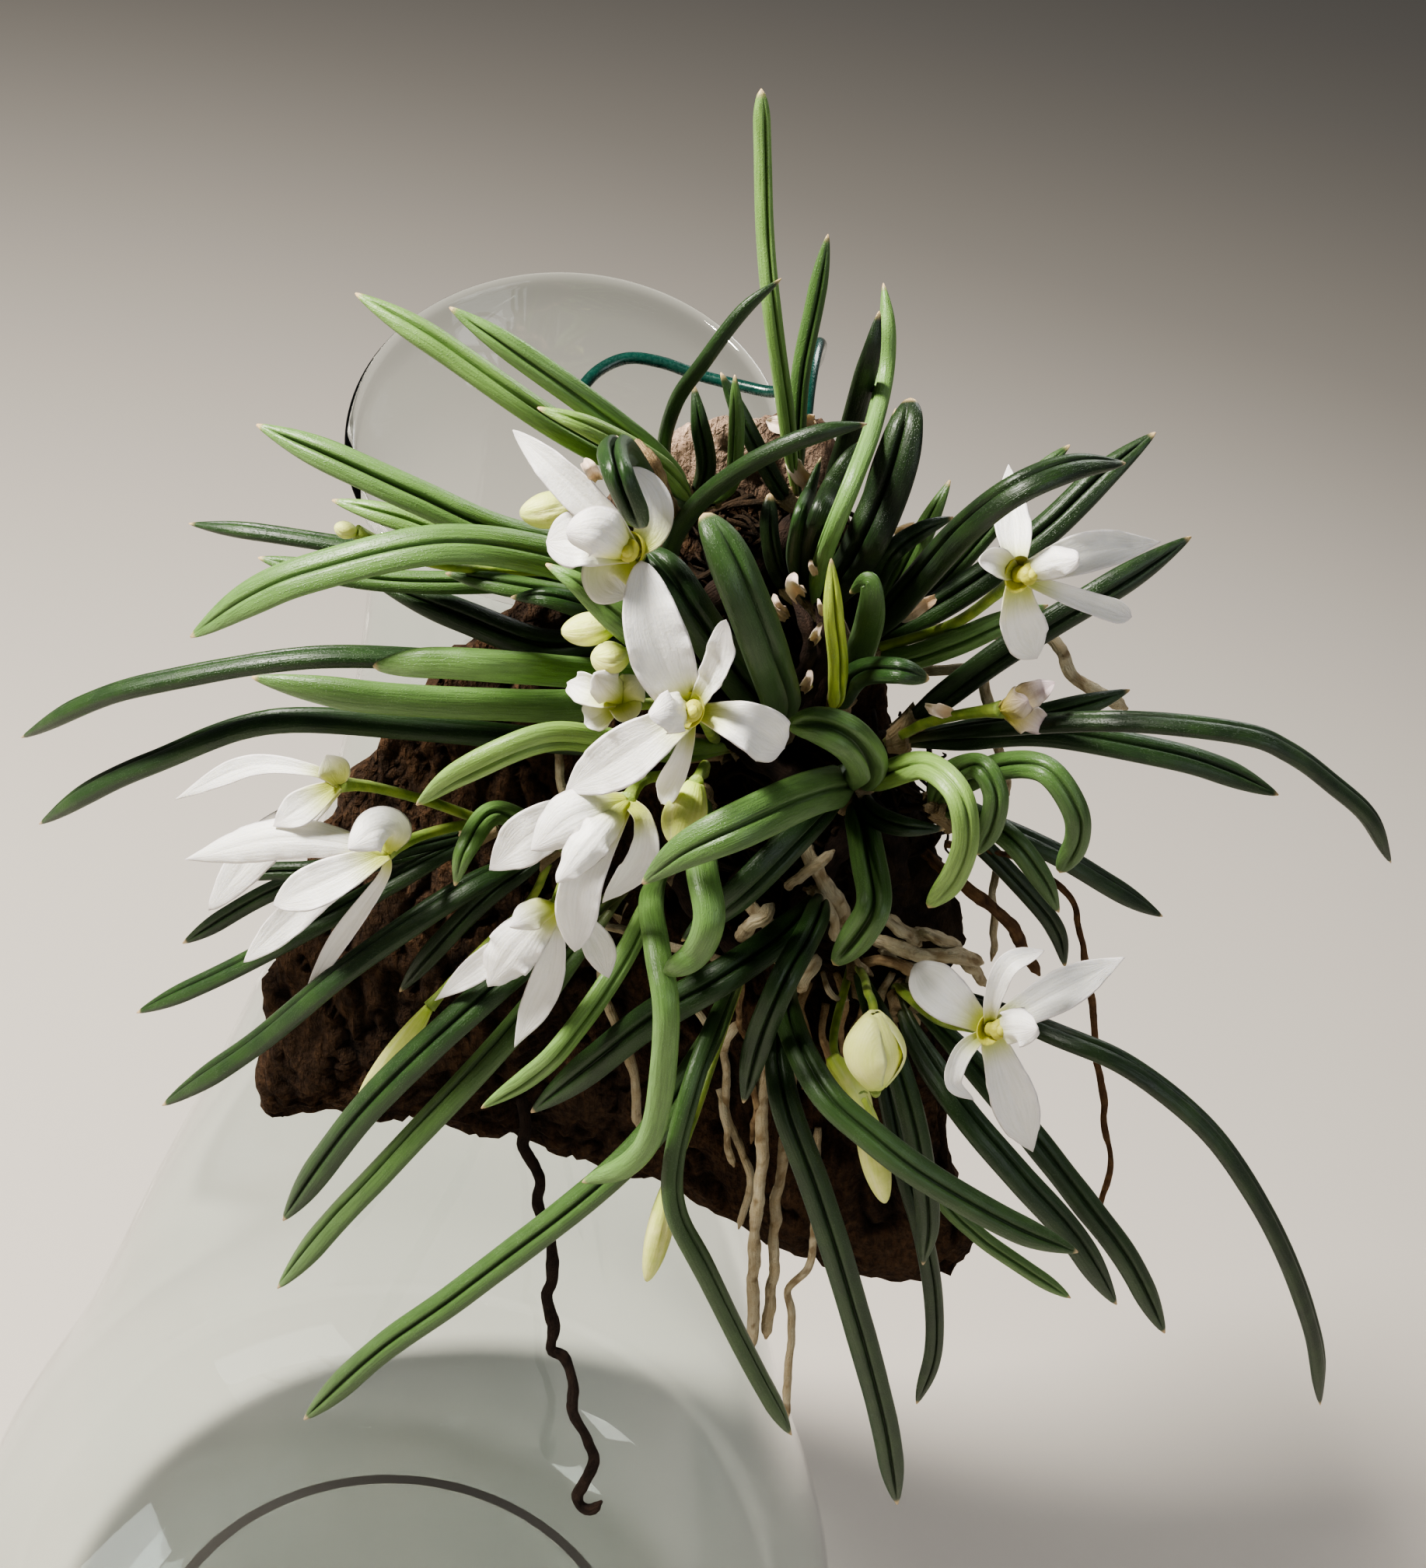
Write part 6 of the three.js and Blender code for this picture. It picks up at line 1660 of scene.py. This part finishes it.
# %% More roots, and the mat
EXTRA_ROOTS = [
    (3.0, (1030, 1075, 6), (1045, 1110, 13), (1070, 1150, 14), (1088, 1185, 10), (1080, 1215, 4)),
    (2.6, (958, 1150, 4), (972, 1172, 10), (990, 1190, 12), (1005, 1215, 9), (1000, 1240, 3)),
    (2.4, (1135, 1170, 8), (1165, 1195, 13), (1205, 1205, 14), (1240, 1232, 11), (1268, 1268, 5)),
    (2.2, (1120, 1205, 6), (1150, 1235, 11), (1185, 1250, 11), (1225, 1262, 7), (1250, 1290, 2)),
    (1.9, (760, 1180, 2), (800, 1195, 5), (850, 1215, 6), (900, 1225, 5), (950, 1240, 3)),
    (1.7, (690, 900, 1), (715, 950, 3), (722, 1010, 4), (750, 1065, 4), (790, 1100, 3)),
    (2.0, (735, 1150, 2), (770, 1215, 4), (780, 1290, 4), (812, 1365, 4), (820, 1450, 2)),
    (1.6, (890, 1290, 2), (930, 1350, 4), (935, 1430, 4), (965, 1510, 3), (950, 1580, 1)),
    (1.8, (1000, 700, 4), (1040, 735, 6), (1075, 790, 6), (1100, 850, 5), (1090, 905, 3)),
    (1.5, (840, 690, 3), (815, 735, 4), (790, 790, 4), (770, 840, 3), (762, 880, 1)),
    (2.0, (1014, 1139, 12), (1030, 1126, 17), (1048, 1114, 18), (1073, 1093, 14)),
    (2.3, (1044, 1143, 12), (1062, 1160, 17), (1073, 1185, 18), (1073, 1210, 14)),
    (2.9, (953, 1204, 9), (966, 1190, 14), (978, 1180, 14), (995, 1162, 9)),
    (3.0, (1030, 1268, 12), (1036, 1256, 17), (1046, 1244, 17), (1050, 1228, 12)),
    (2.5, (1130, 1178, 12), (1145, 1188, 17), (1160, 1200, 17), (1185, 1216, 12)),
    (3.0, (1117, 1205, 12), (1149, 1218, 18), (1183, 1226, 19), (1225, 1228, 18), (1264, 1238, 12)),
    (2.4, (1180, 1198, 12), (1198, 1203, 17), (1218, 1212, 17), (1236, 1216, 12)),
    (1.6, (1281, 1120, 1), (1278, 1150, 3), (1280, 1190, 3), (1275, 1236, 2)),
    (1.2, (1058, 1250, 14), (1066, 1272, 18), (1078, 1284, 18), (1092, 1286, 14)),
    (1.3, (1096, 1224, 14), (1104, 1236, 18), (1117, 1250, 14)),
    (2.2, (930, 1352, 3), (934, 1334, 6), (944, 1322, 6), (952, 1312, 3)),
    (1.7, (1148, 1250, 8), (1132, 1290, 10), (1140, 1340, 9), (1128, 1392, 6)),
    (1.5, (1175, 1238, 8), (1168, 1276, 10), (1178, 1310, 9), (1170, 1350, 5)),
    (1.4, (1002, 1262, 7), (1012, 1300, 9), (1004, 1346, 9), (1016, 1400, 5)),
    (1.6, (925, 1400, 2), (932, 1430, 5), (934, 1470, 5), (944, 1500, 2)),
]
TAN_ROOTS = [
    (1.8, (1040, 1262, 9), (1030, 1300, 12), (1042, 1350, 11), (1032, 1400, 7)),
    (1.6, (1062, 1290, 9), (1056, 1330, 12), (1066, 1370, 10), (1058, 1420, 6)),
    (2.2, (1100, 1260, 9), (1112, 1290, 11), (1098, 1330, 10), (1108, 1370, 6)),
    (1.5, (1075, 1250, 9), (1088, 1290, 12), (1080, 1330, 11), (1092, 1380, 7)),
    (2.4, (1102, 1240, 12), (1130, 1236, 15), (1160, 1244, 15), (1184, 1252, 11)),
    (1.6, (1140, 1300, 7), (1152, 1330, 9), (1146, 1370, 8), (1156, 1410, 4)),
    (1.5, (975, 1350, 4), (968, 1390, 7), (974, 1430, 7), (966, 1470, 4)),
    (1.8, (1010, 1180, 10), (1022, 1210, 14), (1016, 1240, 13), (1026, 1270, 9)),
    (1.4, (940, 1230, 5), (955, 1260, 8), (948, 1300, 8), (960, 1340, 4)),
    (2.8, (808, 574, 34), (824, 577, 40), (838, 594, 42), (849, 622, 40), (862, 654, 33), (880, 692, 20)),
]
creeping = [knobbly(row[1:], row[0], 90 + k, 0.7, 0.12) for k, row in enumerate(EXTRA_ROOTS)]
piece("creeping_roots", creeping, pale_root_finish)
tan = [knobbly(row[1:], row[0], 140 + k, 0.7, 0.14) for k, row in enumerate(TAN_ROOTS)]
piece("tan_roots", tan, tan_root_finish)
print("extra roots:", len(EXTRA_ROOTS) + len(TAN_ROOTS))

MAT_CENTRE = (1135, 1140)
TANGLES = [(1070, 1080, 150, 8.0, 240), (1000, 740, 105, 6.0, 150), (940, 860, 90, 5.0, 60)]
dice = np.random.default_rng(8)


def mound():
    """The mat's body: rings of its outline shrunk to a dome and pushed in and out by rough noise."""
    outline = closed_outline(MAT_OUTLINE, 120)
    dome = np.linspace(0.03, 1, 34)
    shares = np.concatenate([dome, dome[-2::-4]])
    outs = np.concatenate([3 + 7.5 * (1 - dome**2.2), np.full(len(dome[-2::-4]), 1.2)])
    rings = slab(outline, MAT_CENTRE, shares, outs)
    lumps = rough_noise(rings / 4.2, 4, seed=5)
    rings = rings + outward(rings) * (1.5 * lumps)[..., None]
    # The lumps also tell the finish where to paint shade in the mat's hollows.
    return shell(rings, rings, marked(rings.shape[:2], lumps, 0, 0.4, 0))


def thread(middle, reach, bow, radius, tone, seed):
    """A thin bent root across the mat."""
    turn = dice.uniform(0, 2 * np.pi)
    across, fall = reach * np.cos(turn), reach * np.sin(turn)
    px, py, out = middle
    side = dice.uniform(-1, 1, 2) * reach * 0.5
    places = [
        (px - across, py - fall, out - 2.5),
        (px - 0.4 * across + side[0], py - 0.4 * fall + side[1], out + bow),
        (px + 0.5 * across - side[1], py + 0.5 * fall + side[0], out + 0.7 * bow),
        (px + across, py + fall, out - 2.0),
    ]
    line = standing(smooth_line(places, 16))
    thick = radius * (1 + 0.25 * wander(distance_along(line), seed, 2))
    thick = thick * np.sin(np.pi * np.linspace(0.06, 0.94, len(line))) ** 0.5
    return tube(line, thick, 6, tone, seed=seed)


def thread_places(px, py, reach, out, count):
    """Places spread around a middle and standing out less towards the edge, most of them near it."""
    turn = dice.uniform(0, 2 * np.pi, count)
    far = dice.uniform(0, 1, count) ** 0.7
    outs = out - 5.0 * far + dice.uniform(-1, 1.5, count)
    return np.stack([px + reach * far * np.cos(turn), py + reach * far * np.sin(turn), outs], -1)


THREAD_SPANS = {"reach": (18, 60), "bow": (0.5, 3.5), "radius": (0.25, 0.7), "tone": (0, 1)}
threads = []
for number, middle in enumerate(np.vstack([thread_places(*row) for row in TANGLES])):
    drawn = {key: dice.uniform(*span) for key, span in THREAD_SPANS.items()}
    threads.append(thread(middle, seed=number, **drawn))
piece("mat_threads", threads, moss_finish)
piece("mat_body", [mound()], moss_finish, ["root_mat"])
print("threads:", len(threads))

# %% [markdown]
# ## Stems and sheaths
#
# The leaves sit on short stems that creep up through the middle of the plant. Old sheaths wrap the foot
# of each leaf like torn paper.


# %% Creeping stems and torn sheaths
STEMS = [
    (5.0, (1025, 660, 6), (985, 720, 9), (930, 760, 10), (890, 800, 9), (900, 870, 9)),
    (5.0, (900, 870, 9), (930, 930, 10), (985, 980, 11), (1050, 1010, 11), (1110, 1020, 10)),
    (5.0, (1110, 1020, 10), (1085, 1080, 11), (1050, 1130, 10), (1015, 1190, 9), (1010, 1250, 6)),
    (4.4, (960, 1230, 6), (905, 1180, 8), (860, 1120, 8), (800, 1130, 7), (720, 1090, 5)),
    (4.0, (905, 1015, 9), (880, 1060, 9), (862, 1105, 8)),
    (4.2, (1110, 1020, 10), (1150, 1080, 9), (1150, 1160, 8), (1110, 1230, 7)),
    (4.0, (1085, 800, 5), (1062, 850, 9), (1045, 910, 12), (1020, 940, 11)),
    (3.0, (1050, 775, 18), (1062, 815, 21), (1052, 860, 20), (1030, 905, 14)),
    (2.6, (1020, 770, 22), (1040, 812, 25), (1036, 856, 22), (1012, 890, 15)),
]
JOINT_SPACING = 7.0
stems = []
for number, (wide, *places) in enumerate(STEMS):
    line = standing(smooth_line(places, 40))
    way = distance_along(line)
    joints = 1 + 0.14 * np.cos(2 * np.pi * way / JOINT_SPACING + number)
    joints = joints + 0.08 * wander(way, 60 + number, 3)
    taper = 0.35 + 0.65 * smooth_step(np.minimum(way, way[-1] - way), 0, 4)
    tone = (0.5 + 0.5 * wander(way, 70 + number, 8))[:, None]
    stems.append(tube(line, wide / 2 * joints * taper, 14, tone, lobes=0.06, seed=number))
piece("creeping_stems", stems, dark_root_finish)


def sheath(line, radius, start, length, gap, seed):
    """A torn paper wrap around a line: part of a tube, open towards one side, with a ragged free edge
    that stands away from the leaf."""
    steps = np.linspace(start, start + length, 14)
    middle = at_distances(line, steps)
    side = tepal_side[None]
    share = np.linspace(0, 1, len(steps))[:, None]
    angle = (np.pi - gap) * side + seed + 0 * share
    torn = noise(np.stack([angle * 2, share + 0 * angle, 0 * angle + seed], -1), 3)
    ragged = 1 + 0.35 * share**2 * (1 + torn)
    reach = radius * ragged * (1 + 0.12 * side**2) + 0.1 * tepal_front
    fall = 1.6 * share * noise(np.stack([angle * 1.5, 0 * angle, share + 0 * angle + seed], -1), 7)
    x, y = reach * np.cos(angle), reach * np.sin(angle)
    along = unit(np.gradient(middle, axis=0))
    rings = carried(middle, x, y) + along[:, None] * fall[..., None]
    rings = rings[:, ::-1]
    flat = stacked(x, y, steps, 3.0 * seed)[:, ::-1]
    tone = 0.25 + 0.5 * (seed % 3) / 2
    return shell(rings, flat, marked(x.shape, 0.3, side**8, tone, share)[:, ::-1])


sheaths = []
for index, (places, wide) in enumerate(zip(leaf_places, leaf_widths)):
    if index % 3 == 1:
        continue
    line = standing(smooth_line(places, 80))[::-1]
    start = 0.5 + index % 3
    length = 3.0 + 1.2 * (index % 4)
    sheaths.append(sheath(line, 0.25 * wide + 0.5, start, length, 0.5, index % 7 + 0.3))
piece("papery_sheaths", sheaths, sheath_finish)
print("stems:", len(stems), "sheaths:", len(sheaths))

# %% [markdown]
# Dry bracts, left over from old flower stalks, stick out between the leaves as small pale curls. They are
# tepals again: short, cupped and ruffled, in a dry pinkish finish.

# %% Dry bracts
BRACTS = [
    (3.4, (1022, 736, 31), (1020, 750, 32), (1026, 764, 27)),
    (2.0, (995, 764, 22), (1000, 776, 24), (1012, 792, 20)),
    (2.2, (989, 768, 23), (996, 784, 24), (1010, 796, 19)),
    (1.6, (1042, 720, 31), (1044, 727, 32), (1048, 738, 28)),
    (1.5, (1052, 770, 31), (1055, 778, 32), (1058, 790, 27)),
    (4.0, (985, 541, 3), (1010, 546, 4), (1048, 540, 2)),
    (3.6, (1018, 588, 6), (1026, 604, 8), (1040, 624, 5)),
    (2.6, (1158, 798, 20), (1178, 784, 22), (1202, 768, 19)),
    (2.4, (1150, 688, 14), (1164, 680, 16), (1180, 678, 12)),
    (2.8, (789, 566, 52), (798, 572, 54), (808, 580, 50)),
    (2.2, (1040, 862, 24), (1042, 872, 26), (1034, 888, 21)),
    (2.0, (1056, 800, 28), (1052, 812, 30), (1046, 826, 25)),
    (2.6, (1190, 908, 30), (1202, 912, 32), (1222, 916, 27)),
    (2.2, (1182, 972, 30), (1172, 978, 32), (1160, 984, 28)),
    (2.4, (752, 590, 60), (760, 602, 62), (768, 616, 58)),
]
BRACT_LOOK = {"peak": 0.5, "sharp": 0.6, "claw": 0.5, "cup": 0.9, "ruffle": 0.5, "turn": 20, "tone": 0.2}
bracts = [tepal_blade(places, wide, 7 * k + 2, **BRACT_LOOK) for k, (wide, *places) in enumerate(BRACTS)]
piece("dry_bracts", bracts, bract_finish)
print("bracts:", len(bracts))

# %% [markdown]
# ## Setting
#
# The object stands on a pale matt floor. The strongest light comes from the upper left and is small
# enough for leaves to shade each other. Weak ones fill from the right and from behind, and the even grey
# around them keeps the glass readable.

# %% Floor, lights and surroundings
FLOOR_SIZE = 24.0
LIT_MIDDLE = Vector((0, -0.05, 0.27))
bpy.ops.mesh.primitive_plane_add(size=FLOOR_SIZE)
ground = bpy.context.object
ground.name = "ground"
pale, _, shader = finish("pale_floor", Roughness=0.9, Specular_IOR_Level=0.2)
shader.inputs["Base Color"].default_value = tint(196, 189, 180)
ground.data.materials.append(pale)


def area_light(name, place, size, watts, colour):
    """A square light at a place in metres, turned to face the middle of the object."""
    light = bpy.data.lights.new(name, "AREA")
    light.size = size
    light.energy = watts
    light.color = colour
    lamp = bpy.data.objects.new(name, light)
    lamp.location = place
    lamp.rotation_euler = (LIT_MIDDLE - lamp.location).to_track_quat("-Z", "Y").to_euler()
    bpy.context.scene.collection.objects.link(lamp)


area_light("key_light", (-0.72, -0.30, 1.30), 0.24, 50.0, (1.0, 0.96, 0.89))
area_light("fill_light", (0.95, -0.75, 0.75), 0.8, 4.0, (0.94, 0.96, 1.0))
area_light("back_light", (0.35, 0.75, 0.95), 0.4, 4.0, (1.0, 1.0, 1.0))
world = bpy.data.worlds.new("studio")
world.use_nodes = True
even_grey = world.node_tree.nodes["Background"].inputs
even_grey["Color"].default_value = tint(206, 208, 210)
even_grey["Strength"].default_value = 0.2
bpy.context.scene.world = world
bpy.context.scene.view_settings.look = "AgX - Medium High Contrast"

# %% [markdown]
# ## Finish
#
# The scene is brought up to date.

# %% The end
bpy.context.view_layer.update()
